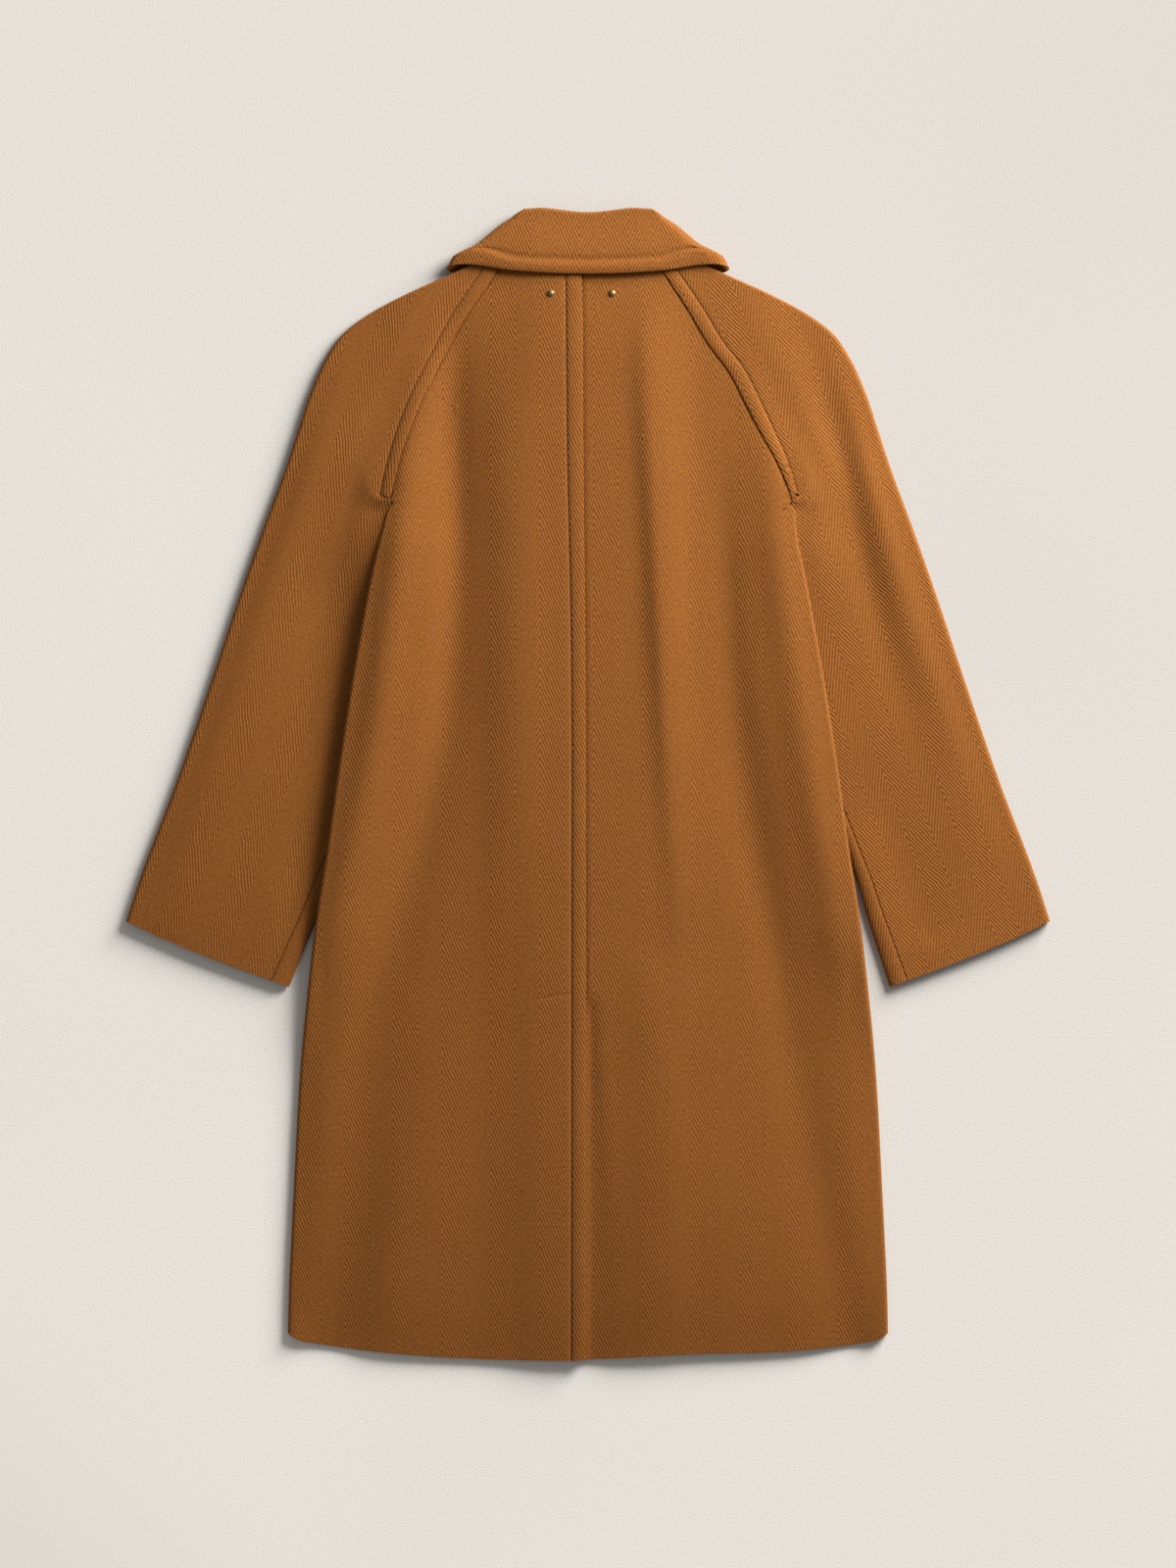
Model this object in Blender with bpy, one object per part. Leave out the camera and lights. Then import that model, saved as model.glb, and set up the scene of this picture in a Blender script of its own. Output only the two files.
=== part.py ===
"""A single-breasted raglan coat in thick wool, laid flat and face down, so that its back shows.

The frame: +Z up from the surface the coat lies on, +X to the wearer's right, +Y to the collar.
The origin is the centre of the coat's outline, on the surface. Lengths below are in millimetres
and are turned into metres where a mesh is written.

How the layers lie, from the surface up: the collar leaves and the buttons, the sleeve fronts, the
sleeve backs, the body fronts, the body backs, and the collar's back on top. The body's sides are
rolled over the sleeves, with the side seams turned to the underside. All heights come from four
functions: floor_lift, sleeve_top, front_low and back_top.
"""
import math

import bmesh
import bpy
import numpy as np

MM = 0.001

# Cloth
CLOTH = 2.2            # wall of the body and sleeve cloth
COLLAR_CLOTH = 3.0     # wall of the collar, two plies pressed together
SEAM_GAP = 0.3         # between the edges of neighbouring pieces
LAYER_GAP = 0.9        # air between cloth layers that lie on each other
TUBE_HEIGHT = 8.2      # a sleeve lying flat, outside to outside
BODY_ROLL = 7.0        # the body's rolled side edge, outside to outside
CREASE_ROLL = 5.2      # the same at its top, where the raglan seam goes under it
SLEEVE_STEP = 32.0     # how wide the body's soft step over a sleeve's inner edge is
LAP_RISE = 1.5         # how far a lapped edge stands above the cloth beside it
LAP_DIP = LAP_RISE - CLOTH - 4 * SEAM_GAP   # how far the covered edge dips under it
NECK_GAP = 1.0         # between the collar's stand and the neck edge

# Plan sizes, measured from the centre line
HEM_Y = -530.6         # hem at the centre back
HEM_CURVE = 20.0       # how much higher the hem is at the side seams
HALF_HEM = 276.0
NECK_BACK_Y = 494.0
NECK_FRONT_Y = 411.0
NECK_SIDE = (90.0, 489.0)
CENTRE_FOLD_X = -2.7   # fold edge of the left back, which laps over the right back
CENTRE_LAP = 17.0      # how far the right back goes on under the left
VENT_TOP_Y = -194.0
VENT_LAP = 42.0        # the vent's underlap
FRONT_LAP = 40.0       # how far each front goes past the centre front
UNDERARM_Y = 189.0
CREASE_Y = 260.0       # where the raglan seam goes under the body's rolled edge
RAGLAN_ALLOWANCE = 18.0
CUFF_INNER_Y = -187.0
CUFF_OUTER_Y = -126.5

# Buttons and studs
BUTTON_DIAMETER = 23.0
BUTTON_THICK = 3.4
BUTTON_TOP_Y = 320.0
BUTTON_PITCH = 115.0
BUTTON_COUNT = 4
STUD_DIAMETER = 6.4
STUD_HEIGHT = 1.8
STUD_Y = 450.0
STUD_X = {"left": -34.2, "right": 22.0}

SIDES = {"left": -1, "right": 1}
HALF_TURN = (0, 45, 90, 135, 180)
OVERARM_ANGLES = (0, 38, 66, 80, 84)   # a sleeve's outer roll, from its top to the overarm seam

# (y, half width) of the body at its rolled side edge
BODY_EDGE = (
    (262, 182.0), (247, 185.5), (202, 197.0), (135, 210.0), (67, 221.5), (0, 231.5),
    (-68, 241.0), (-111, 248.0), (-180, 256.5), (-252, 263.7), (-360, 270.0), (-504, 275.6),
    (-531, 276.0),
)
# (y, half width) of the sleeves' outer edge, from the neck over the shoulder to the cuff
SLEEVE_OUTER = (
    (489, 90), (472, 118), (466, 131), (450, 167), (432, 201), (414, 225), (396, 238), (360, 255),
    (324, 267), (288, 279), (234, 299), (180, 318), (90, 348), (0, 379), (-90, 413), (-127, 425),
)
# (y, distance from the centre) of the back raglan seam's fold edge
RAGLAN_BACK = {
    "left": ((494, 69), (465, 87), (432, 110), (383, 137), (351, 153), (324, 164), (297, 173),
             (260, 182)),
    "right": ((494, 54), (469, 70), (432, 94), (405, 110), (378, 130), (351, 144), (324, 158),
              (297, 172), (260, 182)),
}
# (y, distance from the centre) of the front raglan seam
RAGLAN_FRONT = ((470, 80), (430, 96), (396, 107.5), (358, 120.5), (326, 129.5), (302, 135),
                (260, 140.5), (222, 140.5), (189, 137.5))
# (y, distance from the centre) of the sleeve's inner edge: the hidden seam down to the underarm,
# then the fold down to the cuff
SLEEVE_INNER = {
    "left": ((260, 182), (189, 138), (100, 168), (0, 203), (-95, 239), (-127, 250.5), (-187, 275)),
    "right": ((260, 182), (189, 138), (100, 180), (0, 218), (-95, 249), (-127, 258), (-187, 277.5)),
}
# (y, distance) of the side seam from the body's rolled edge, along the underside
SIDE_SEAM = ((260, 8), (189, 61), (140, 38), (80, 25), (10, 12), (-60, 10), (-531, 10))
# (y, distance) of the underarm seam from the sleeve's inner edge, along the top side
UNDERARM_SEAM = ((189, 5), (0, 8), (-95, 14), (-187, 18))
# (y, height at the centre, height at the sides) of the back's top face
BACK_HEIGHT = (
    (500, 11.4, 11.4), (455, 13.4, 11.6), (400, 15.2, 10.8), (340, 14.8, 9.8), (250, 14.2, 9.2),
    (0, 14.2, 9.0), (-150, 13.0, 9.0), (-230, 12.2, 8.6), (-531, 12.0, 8.4),
)
# Large folds of the back: (x, y) where a fold starts and ends, half width and height
BACK_FOLDS = (
    ((-135, 330), (-175, 40), 30, 2.2),
    ((-104, 330), (-118, -120), 24, -1.4),
    ((-62, 300), (-58, -480), 26, 1.6),
    ((55, 300), (62, -110), 15, -1.6),
    ((72, 330), (84, -300), 22, 1.2),
    ((120, 200), (190, -60), 20, -1.6),
    ((150, 300), (196, 20), 20, 2.2),
    ((-205, -180), (-222, -500), 22, -1.0),
    ((198, -220), (232, -500), 20, -1.0),
)
# Large folds of the sleeves, as above, for the left sleeve and mirrored for the right one
SLEEVE_FOLDS = (
    ((-245, 300), (-262, 120), 24, -0.9),
    ((-290, 120), (-350, -90), 30, 0.8),
)


def smooth(value):
    """0 below 0, 1 above 1, and a soft step between."""
    value = min(max(value, 0.0), 1.0)
    return value * value * (3 - 2 * value)


def at(table, y, column=1):
    """The value in a table's column at height y, straight between its rows."""
    rows = sorted(table)
    return float(np.interp(y, [row[0] for row in rows], [row[column] for row in rows]))


def side_of(x):
    """The name of the side that a point is on."""
    return "left" if x < 0 else "right"


def folds(table, x, y):
    """Sum of a fold table's soft ridges and troughs at a point."""
    total = 0.0
    for (x0, y0), (x1, y1), half_width, height in table:
        length2 = (x1 - x0) ** 2 + (y1 - y0) ** 2
        along = ((x - x0) * (x1 - x0) + (y - y0) * (y1 - y0)) / length2
        along_clipped = min(max(along, 0.0), 1.0)
        across = math.hypot(x - x0 - along_clipped * (x1 - x0), y - y0 - along_clipped * (y1 - y0))
        fade = smooth(along / 0.3 + 0.2) * smooth((1 - along) / 0.3 + 0.2)
        total += height * fade * math.exp(-(across / half_width) ** 2)
    return total


def floor_lift(x, y):
    """How high the lowest cloth lies: over the collar leaves and along the row of buttons."""
    collar = (COLLAR_CLOTH + LAYER_GAP) * smooth((y - 308) / 40) * smooth((178 - abs(x)) / 40)
    last_button = BUTTON_TOP_Y - (BUTTON_COUNT - 1) * BUTTON_PITCH
    buttons = (BUTTON_THICK + 2 * SEAM_GAP) * smooth((44 - abs(x)) / 28)
    return max(collar, buttons * smooth((y - last_button + 65) / 40))


def beside_cuff(y):
    """1 along the sleeves, fading to 0 just below their cuffs."""
    return smooth((y - CUFF_INNER_Y + 18) / 75)


def over_sleeve(x, y):
    """0 beside a sleeve, 1 where the body lies on it, with a soft step over its inner edge."""
    inner = at(SLEEVE_INNER[side_of(x)], max(y, CUFF_INNER_Y))
    inner = min(inner, at(BODY_EDGE, y) - 2)
    start = SLEEVE_STEP - 4 + 4 * smooth((y - UNDERARM_Y) / 10)
    step = smooth((abs(x) - inner + start) / SLEEVE_STEP)
    return step * beside_cuff(y) * smooth((330 - y) / 60)


def front_low(x, y):
    """Underside of the body's fronts, which rise over the sleeves at the sides."""
    return max(floor_lift(x, y), (TUBE_HEIGHT + LAYER_GAP) * over_sleeve(x, y))


def roll_height(y):
    """Outside height of the body's rolled side edge, which starts small at the raglan crease."""
    return lerp(CREASE_ROLL, BODY_ROLL, smooth((CREASE_Y - y) / 45))


def back_top(x, y):
    """Top face of the back, without its lapped edges."""
    centre = smooth((105 - abs(x)) / 60)
    height = at(BACK_HEIGHT, y, 2) * (1 - centre) + at(BACK_HEIGHT, y, 1) * centre
    height += folds(BACK_FOLDS, x, y)
    edge = at(BODY_EDGE, y)
    edge_height = (TUBE_HEIGHT + LAYER_GAP) * beside_cuff(y) + roll_height(y)
    inner = at(SLEEVE_INNER[side_of(x)], max(y, CUFF_INNER_Y))
    by_edge = smooth((abs(x) - edge + 30) / 30)
    by_sleeve = smooth((abs(x) - inner + 52) / 48) * beside_cuff(y)
    return height + (edge_height - height) * max(by_edge, by_sleeve) * smooth((292 - y) / 40)


def sleeve_top(x, y, from_seam):
    """Top face of a sleeve; from_seam is the distance from its raglan seam's fold edge."""
    own = TUBE_HEIGHT + floor_lift(x, y) + folds(SLEEVE_FOLDS, -abs(x), y)
    lapped = back_top(x, y) + LAP_RISE
    by_seam = smooth((58 - from_seam) / 42) * smooth((y - 257) / 20)
    return own + (lapped - own) * by_seam


def lerp(start, end, share):
    """A value or a point between two others."""
    if isinstance(start, tuple):
        return tuple(lerp(a, b, share) for a, b in zip(start, end))
    return start + (end - start) * share


def roll(edge, outward, low, high, angles):
    """(across, z) at angles along a rolled edge: 0 is its top and 180 its underside."""
    radius = (high - low) / 2
    points = []
    for angle in angles:
        across = edge - outward * radius * (1 - math.sin(math.radians(angle)))
        points.append((across, (low + high) / 2 + radius * math.cos(math.radians(angle))))
    return points


def cloth(name, rows, up, wall, made):
    """A closed cloth wall from rows of (x, y, z) points on its outer face.

    up is 1 where the middle of the rows faces up, and -1 where it faces down.
    """
    count_u, count_v = len(rows[0]), len(rows)
    mesh = bpy.data.meshes.new(name)
    bm = bmesh.new()
    bmesh.ops.create_grid(bm, x_segments=count_u - 1, y_segments=count_v - 1, size=1)
    middle = []
    for vert in bm.verts:
        u = round((vert.co.x + 1) / 2 * (count_u - 1))
        v = round((vert.co.y + 1) / 2 * (count_v - 1))
        vert.co = [value * MM for value in rows[v][u]]
        if u == count_u // 2:
            middle.append(vert)
    bm.normal_update()
    if sum(vert.normal.z for vert in middle) * up < 0:
        bmesh.ops.reverse_faces(bm, faces=bm.faces)
    bm.to_mesh(mesh)
    bm.free()
    mesh.shade_smooth()
    piece = place(name, mesh, made)
    solid = piece.modifiers.new("wall", "SOLIDIFY")
    solid.thickness = wall * MM
    solid.offset = -1
    return piece


def material(name, colour, roughness, metallic):
    """A plain Principled material."""
    made = bpy.data.materials.get(name) or bpy.data.materials.new(name)
    made.use_nodes = True
    shader = made.node_tree.nodes["Principled BSDF"]
    shader.inputs["Base Color"].default_value = (*colour, 1)
    shader.inputs["Roughness"].default_value = roughness
    shader.inputs["Metallic"].default_value = metallic
    return made


def place(name, mesh, made):
    """Puts a mesh in the scene under a node's name."""
    piece = bpy.data.objects.new(name, mesh)
    bpy.context.collection.objects.link(piece)
    mesh.materials.append(made)
    return piece


def neck_back(x):
    """The back neck seam, straight at the centre and falling a little to the shoulder."""
    return NECK_BACK_Y + (NECK_SIDE[1] - NECK_BACK_Y) * max(abs(x) - 60, 0) / (NECK_SIDE[0] - 60)


def body_y(x, y):
    """Moves a body row's height so that the first rows follow the neck and the last ones the hem."""
    hem = HEM_CURVE * (min(abs(x), HALF_HEM) / HALF_HEM) ** 2.6
    neck = (neck_back(x) - NECK_BACK_Y) * smooth((y - 470) / 20)
    return y + hem * smooth((-380 - y) / 150) + neck


# Heights of the body rows; the lowest ones follow the hem's curve
BACK_ROWS = (494, 462, 428, 392, 358, 326, 302, 290, 276, 260, 246, 222, 189, 165, 135, 80, 10,
             -60, -110, -150, -190, -197, -300, -400, -480, -530.6)
# (height at the centre, height at the raglan or side seam) of the front rows
FRONT_ROWS = ((411, 470), (390, 430), (371, 396), (345, 358), (324, 326), (302, 302), (260, 260),
              (222, 222), (189, 189), (165, 165), (135, 135), (80, 80), (10, 10), (-60, -60),
              (-110, -110), (-150, -150), (-190, -190), (-300, -300), (-400, -400), (-480, -480),
              (-530.6, -530.6))
# (height at the back's seam or fold, at the front's, at the outer edge) of the sleeve rows
SLEEVE_ROWS = (
    (492, 470, 488.7), (464, 452, 466), (430, 430, 443), (396, 396, 414), (358, 358, 388),
    (326, 326, 362), (302, 302, 340), (288, 288, 327), (275, 275, 316), (260, 260, 303),
    (246, 246, 292), (222, 222, 274), (189, 189, 245), (130, 130, 189), (60, 60, 122),
    (-20, -20, 44), (-95, -95, -31), (-127, -127, -65), (CUFF_INNER_Y, CUFF_INNER_Y, CUFF_OUTER_Y),
)


def back_lap(side, across):
    """How far a back panel stands above back_top beside the centre back and in the vent."""
    if side == "left":
        return LAP_RISE * smooth((-CENTRE_FOLD_X + 25 - across) / 7)
    return LAP_DIP * smooth((4 - across) / 7) - LAP_RISE * smooth((-20 - across) / 8)


def back_row(side, y):
    """One row of a back panel's outer face, from the centre back to its side seam."""
    sign = SIDES[side]
    raglan = at(RAGLAN_BACK[side], y)
    edge = at(BODY_EDGE, y)
    if side == "left":
        columns = [-CENTRE_FOLD_X + step for step in (0, 9, 18, 26)]
    else:
        lap = VENT_LAP if y < VENT_TOP_Y else CENTRE_LAP
        bend = lerp(-lap, 1 - CENTRE_LAP, 0.62)
        columns = [CENTRE_FOLD_X + step for step in (-lap, bend, 1 - CENTRE_LAP, -2, 8)]
    rolled = y <= CREASE_Y
    allowance = RAGLAN_ALLOWANCE * smooth((y - 278) / 22) * smooth((498 - y) / 30) - SEAM_GAP
    top_end = edge - roll_height(y) / 2 if rolled else raglan + allowance - 6
    spreads = 8 if side == "left" else 7
    columns += [lerp(columns[-1], top_end, share / spreads) for share in range(1, spreads + 1)]
    under_seam = 0 if rolled else LAP_DIP - SEAM_GAP
    profile = []
    for across in columns:
        dip = under_seam * smooth((across - raglan + 8) / 8)
        profile.append((across, back_top(sign * across, y) + back_lap(side, across) + dip))
    if rolled:
        high = profile[-1][1]
        profile += roll(edge, 1, high - roll_height(y), high, HALF_TURN[1:])
        seam = edge - at(SIDE_SEAM, y)
        for share in (0.5, 1):
            across = lerp(top_end, seam, share)
            profile.append((across, front_low(sign * across, y)))
    else:
        steps = len(HALF_TURN) + 1
        for step in range(1, steps + 1):
            across = lerp(top_end, raglan + allowance, step / steps)
            dip = under_seam * smooth((across - raglan + 8) / 8)
            profile.append((across, back_top(sign * across, y) + dip))
    return [(sign * across, body_y(across, y), z) for across, z in profile]


def front_row(side, y_centre, y_side):
    """One row of a front panel's underside, from its front edge to its raglan or side seam."""
    sign = SIDES[side]
    if y_side >= UNDERARM_Y:
        end = at(RAGLAN_FRONT, y_side) - SEAM_GAP
    else:
        end = at(BODY_EDGE, y_side) - at(SIDE_SEAM, y_side) - 2 * SEAM_GAP
    inner = at(SLEEVE_INNER[side], min(max(y_side, CUFF_INNER_Y), UNDERARM_Y))
    bend = min(inner - 30, end - 16)
    columns = [-FRONT_LAP, -16, 4, 16, 30, 44, 60, lerp(60, bend, 0.5), bend]
    columns += [lerp(bend, end, share / 4) for share in range(1, 5)]
    row = []
    for across in columns:
        y = y_centre + (y_side - y_centre) * (max(across, 0) / end) ** 1.6
        z = front_low(sign * across, y)
        if side == "left":
            z += (CLOTH + LAYER_GAP + 2 * SEAM_GAP) * smooth((61 - across) / 16)
        row.append((sign * across, body_y(across, y), z))
    return row


def sleeve_line(side, table_above, table_break, y_in, y_out):
    """A sleeve row's ends in plan: its seam or inner fold, and the outer edge."""
    table = table_above if y_in >= table_break else SLEEVE_INNER[side]
    return (at(table, y_in), y_in), (at(SLEEVE_OUTER, y_out), y_out)


def on_line(sign, start, end, width, profile):
    """Points of a profile (distance from the start, height) along a line in plan."""
    points = []
    for distance, z in profile:
        x, y = lerp(start, end, distance / width)
        points.append((sign * x, y, z))
    return points


def sleeve_back_row(side, y_in, y_out):
    """One row of a sleeve's back, from its raglan or underarm seam to the overarm seam."""
    sign = SIDES[side]
    start, end = sleeve_line(side, RAGLAN_BACK[side], CREASE_Y, y_in, y_out)
    width = math.dist(start, end)
    low = floor_lift(end[0], end[1])
    high = sleeve_top(sign * end[0], end[1], width)
    first = at(UNDERARM_SEAM, y_in) if y_in <= UNDERARM_Y else 0.0
    last = width - (high - low) / 2
    profile = []
    for share in (0, 0.08, 0.2, 0.36, 0.56, 0.78, 1):
        across = lerp(first, last, share)
        x, y = lerp(start, end, across / width)
        profile.append((across, sleeve_top(sign * x, y, across)))
    profile += roll(width, 1, low, profile[-1][1], OVERARM_ANGLES[1:])
    return on_line(sign, start, end, width, profile)


def sleeve_front_row(side, y_in, y_out):
    """One row of a sleeve's front, from the overarm seam along the underside to its other seam."""
    sign = SIDES[side]
    start, end = sleeve_line(side, RAGLAN_FRONT, UNDERARM_Y + 1, y_in, y_out)
    width = math.dist(start, end)
    low = floor_lift(end[0], end[1])
    high = sleeve_top(sign * end[0], end[1], width)
    radius = TUBE_HEIGHT / 2
    profile = roll(width, 1, low, high, [180 - angle for angle in reversed(OVERARM_ANGLES)])
    flat_start = profile[-1][0]
    for share in (0.25, 0.5, 0.75, 1):
        across = lerp(flat_start, radius, share)
        x, y = lerp(start, end, across / width)
        profile.append((across, floor_lift(x, y)))
    if y_in <= UNDERARM_Y:
        inner_height = TUBE_HEIGHT - 0.8 * smooth((y_in - 100) / 60)
        profile += roll(0, -1, 0, inner_height, HALF_TURN[-2::-1])
        profile.append((at(UNDERARM_SEAM, y_in) - 2 * SEAM_GAP, inner_height))
    else:
        steps = len(HALF_TURN)
        for step in range(1, steps + 1):
            across = lerp(radius, 0, step / steps)
            x, y = lerp(start, end, across / width)
            profile.append((across, floor_lift(x, y)))
    return on_line(sign, start, end, width, profile)


# The collar, on one side, in plan. The fold at the neck's side runs from its roll line to its edge.
FOLD_TOP = (66.0, 525.0)
FOLD_END = (132.0, 471.5)
COLLAR_POINT = (63.0, 360.0)
ROLL_FRONT = (3.0, 445.0)
COLLAR_LOW = 3.0       # top of the collar leaves
STAND_TOP = 10.6       # top of the stand where it lies under the fall


def collar_roll_y(x):
    """The fold along the top of the collar, a little lower at the centre back."""
    return 525.5 + 5.1 * smooth(abs(x) / 48) - 5.6 * smooth((abs(x) - 50) / 16)


def collar_edge_y(x):
    """The lower edge of the collar's back."""
    return 467.8 + 9.0 * (x / 118) ** 2


def collar_over(x, share):
    """Outer height of the collar's back, from its roll line (share 0) to its edge (share 1)."""
    edge = lerp(17.0, 18.6, smooth((100 - abs(x)) / 60))
    return lerp(STAND_TOP + 2 * SEAM_GAP + COLLAR_CLOTH, edge, smooth(share * 1.25))


def rim_drop(share):
    """How far the collar's outer face rounds down just before its roll line."""
    return 0.6 * (1 - smooth(share / 0.07))


def neck_front(x):
    """The front neck seam, from the centre front up to the shoulder."""
    if x <= 80:
        return NECK_FRONT_Y + (470 - NECK_FRONT_Y) * (x / 80) ** 1.6
    return lerp(470, NECK_SIDE[1], (x - 80) / (NECK_SIDE[0] - 80))


def fold_around(top, end, share, low, high, steps):
    """Points around a fold that runs in plan from top to end, from its upper to its lower side."""
    length = math.dist(top, end)
    normal = ((top[1] - end[1]) / length, (end[0] - top[0]) / length)
    middle = lerp(top, end, share)
    radius = (high - low) / 2
    points = []
    for step in range(steps + 1):
        angle = math.pi * step / steps
        inward = radius * (1 - math.sin(angle))
        x, y = middle[0] - normal[0] * inward, middle[1] - normal[1] * inward
        points.append((x, y, (low + high) / 2 + radius * math.cos(angle)))
    return points


def fall_half_row(share):
    """Half a row of the fall's outer face, from the centre back round to the centre front."""
    drop = rim_drop(share)
    side = fold_around(FOLD_TOP, FOLD_END, share, drop, collar_over(131, share) - drop, 6)
    row = []
    for step in (0, 0.2, 0.4, 0.6, 0.8):
        x = step * side[0][0]
        y = lerp(collar_roll_y(x), collar_edge_y(x), share)
        y = lerp(y, side[0][1], smooth((step - 0.5) * 2))
        row.append((x, y, collar_over(x, share) - drop))
    row += side
    under = lerp(ROLL_FRONT, COLLAR_POINT, share)
    for step in (0.25, 0.5, 0.75, 1):
        row.append((*lerp(side[-1][:2], under, step), drop))
    return row


def stand_half_row(share):
    """Half a row of the stand's outer face, from its roll line (share 0) to its neck seam."""
    roll_side = (FOLD_TOP[0] - 5, FOLD_TOP[1] - 4)
    neck_side = (NECK_SIDE[0], NECK_SIDE[1] + 4)
    side = fold_around(roll_side, neck_side, share, COLLAR_LOW + LAYER_GAP, STAND_TOP, 4)
    row = []
    for step in (0, 0.25, 0.5, 0.75):
        x = step * side[0][0]
        row.append((x, lerp(collar_roll_y(x) - 6, neck_back(x) + NECK_GAP, share), STAND_TOP))
    row += side
    for step in (0.25, 0.5, 0.75, 1):
        x = lerp(side[-1][0], ROLL_FRONT[0], step)
        y = lerp(lerp(roll_side[1], ROLL_FRONT[1], step), neck_front(x) + NECK_GAP, share)
        row.append((x, y, COLLAR_LOW + LAYER_GAP))
    return row


def whole_row(half):
    """A collar row from its right half, with the left half mirrored from it."""
    return [(-x, y, z) for x, y, z in reversed(half)] + half[1:]


def disc(name, diameter, height, top_share, segments, bevel, centre, made):
    """A flat round piece, such as a button, with bevelled rims."""
    mesh = bpy.data.meshes.new(name)
    bm = bmesh.new()
    bmesh.ops.create_cone(bm, cap_ends=True, segments=segments, radius1=diameter / 2 * MM,
                          radius2=diameter / 2 * top_share * MM, depth=height * MM)
    rims = [edge for edge in bm.edges if abs(edge.verts[0].co.z - edge.verts[1].co.z) < 1e-6]
    bmesh.ops.bevel(bm, geom=rims, offset=bevel * MM, offset_type="OFFSET", segments=1,
                    profile=0.5, affect="EDGES", material=-1)
    bmesh.ops.translate(bm, verts=bm.verts, vec=(0, 0, height / 2 * MM))
    bm.to_mesh(mesh)
    bm.free()
    mesh.shade_smooth()
    mesh.set_sharp_from_angle(angle=math.radians(35))
    piece = place(name, mesh, made)
    piece.location = [value * MM for value in centre]


def build_cloth():
    """The body, the sleeves and the collar."""
    wool = material("coat_wool", (0.42, 0.17, 0.05), 0.9, 0)
    for side in SIDES:
        cloth("back_" + side, [back_row(side, y) for y in BACK_ROWS], 1, CLOTH, wool)
        fronts = [front_row(side, *row) for row in FRONT_ROWS]
        cloth("front_" + side, fronts, -1, CLOTH, wool)
        backs = [sleeve_back_row(side, y_in, y_out) for y_in, _, y_out in SLEEVE_ROWS]
        cloth("sleeve_back_" + side, backs, 1, CLOTH, wool)
        fronts = [sleeve_front_row(side, y_in, y_out) for _, y_in, y_out in SLEEVE_ROWS]
        cloth("sleeve_front_" + side, fronts, -1, CLOTH, wool)
    falls = [whole_row(fall_half_row(share)) for share in (0, 0.03, 0.07, 0.3, 0.6, 0.85, 1)]
    cloth("collar_fall", falls, 1, COLLAR_CLOTH, wool)
    stands = [whole_row(stand_half_row(share)) for share in (0, 0.5, 1)]
    cloth("collar_stand", stands, 1, COLLAR_CLOTH, wool)


def build_trim():
    """The buttons under the front, and the two studs under the collar."""
    horn = material("button_horn", (0.10, 0.055, 0.03), 0.4, 0)
    brass = material("stud_brass", (0.60, 0.43, 0.20), 0.35, 1)
    for index in range(BUTTON_COUNT):
        centre = (0, BUTTON_TOP_Y - index * BUTTON_PITCH, 0)
        disc(f"button_{index + 1}", BUTTON_DIAMETER, BUTTON_THICK, 1, 20, 0.6, centre, horn)
    for side, x in STUD_X.items():
        seat = max(back_top(x + dx, STUD_Y + dy) for dx in (-3, 3) for dy in (-3, 3))
        centre = (x, STUD_Y, seat + SEAM_GAP)
        disc("stud_" + side, STUD_DIAMETER, STUD_HEIGHT, 0.8, 16, 0.5, centre, brass)


def main():
    """Clears the scene and builds the coat."""
    for old in list(bpy.data.objects):
        bpy.data.objects.remove(old, do_unlink=True)
    build_cloth()
    build_trim()


main()
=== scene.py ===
# %% [markdown]
# # A wool raglan coat, laid face down
#
# The coat lies flat on a pale surface and shows its back. The solid model gives every panel its
# place and its thickness. This lesson gives the panels their cloth: soft folds, lapped and
# topstitched seams, rounded edges and a herringbone weave. All lengths are in millimetres, and
# become metres only when a mesh is written.

# %% Load the solid model
import math

import bmesh
import bpy
import numpy as np
from mathutils import Matrix, Vector


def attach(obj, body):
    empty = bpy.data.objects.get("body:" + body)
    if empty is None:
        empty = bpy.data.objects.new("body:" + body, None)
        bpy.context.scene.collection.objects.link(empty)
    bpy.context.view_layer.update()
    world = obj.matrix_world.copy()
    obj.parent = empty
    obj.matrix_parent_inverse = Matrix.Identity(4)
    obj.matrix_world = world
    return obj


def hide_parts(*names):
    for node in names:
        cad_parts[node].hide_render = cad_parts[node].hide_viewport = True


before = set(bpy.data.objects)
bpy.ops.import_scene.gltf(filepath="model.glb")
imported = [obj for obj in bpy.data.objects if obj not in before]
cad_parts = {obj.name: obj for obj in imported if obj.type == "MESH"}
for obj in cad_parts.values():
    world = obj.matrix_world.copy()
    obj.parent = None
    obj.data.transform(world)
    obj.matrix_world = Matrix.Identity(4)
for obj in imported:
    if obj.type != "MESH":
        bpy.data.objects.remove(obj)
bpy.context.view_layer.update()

# %% [markdown]
# ## The pattern's sizes
#
# A tailor works from a pattern. These are its sizes, the same ones that the solids were made from:
# cloth thickness, the height at which each layer lies, and tables for the long curved edges. A
# table's first column is the height y on the coat, and the next ones say what is found there.

# %% Cloth and layers
MM = 0.001             # metres in a millimetre
CLOTH = 2.2            # wall of the panels
COLLAR_CLOTH = 3.0     # wall of the collar's two pieces
SEAM_GAP = 0.3         # between pieces at a seam
LAYER_GAP = 0.9        # between layers that lie on each other
TUBE_HEIGHT = 8.2      # of a sleeve that lies flat
BODY_ROLL = 7.0        # height of the body's rolled side edge
CREASE_ROLL = 5.2      # the same at the underarm's crease
SLEEVE_STEP = 32.0     # width over which the body steps up onto a sleeve
LAP_RISE = 1.5         # of the lapped centre seam
RAGLAN_RISE = 0.9      # of the lapped raglan seams
LAP_DIP = LAP_RISE - CLOTH - 4 * SEAM_GAP
CENTRE_RISE = 2.1      # of the left back beside its fold
NECK_GAP = 1.0

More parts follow.
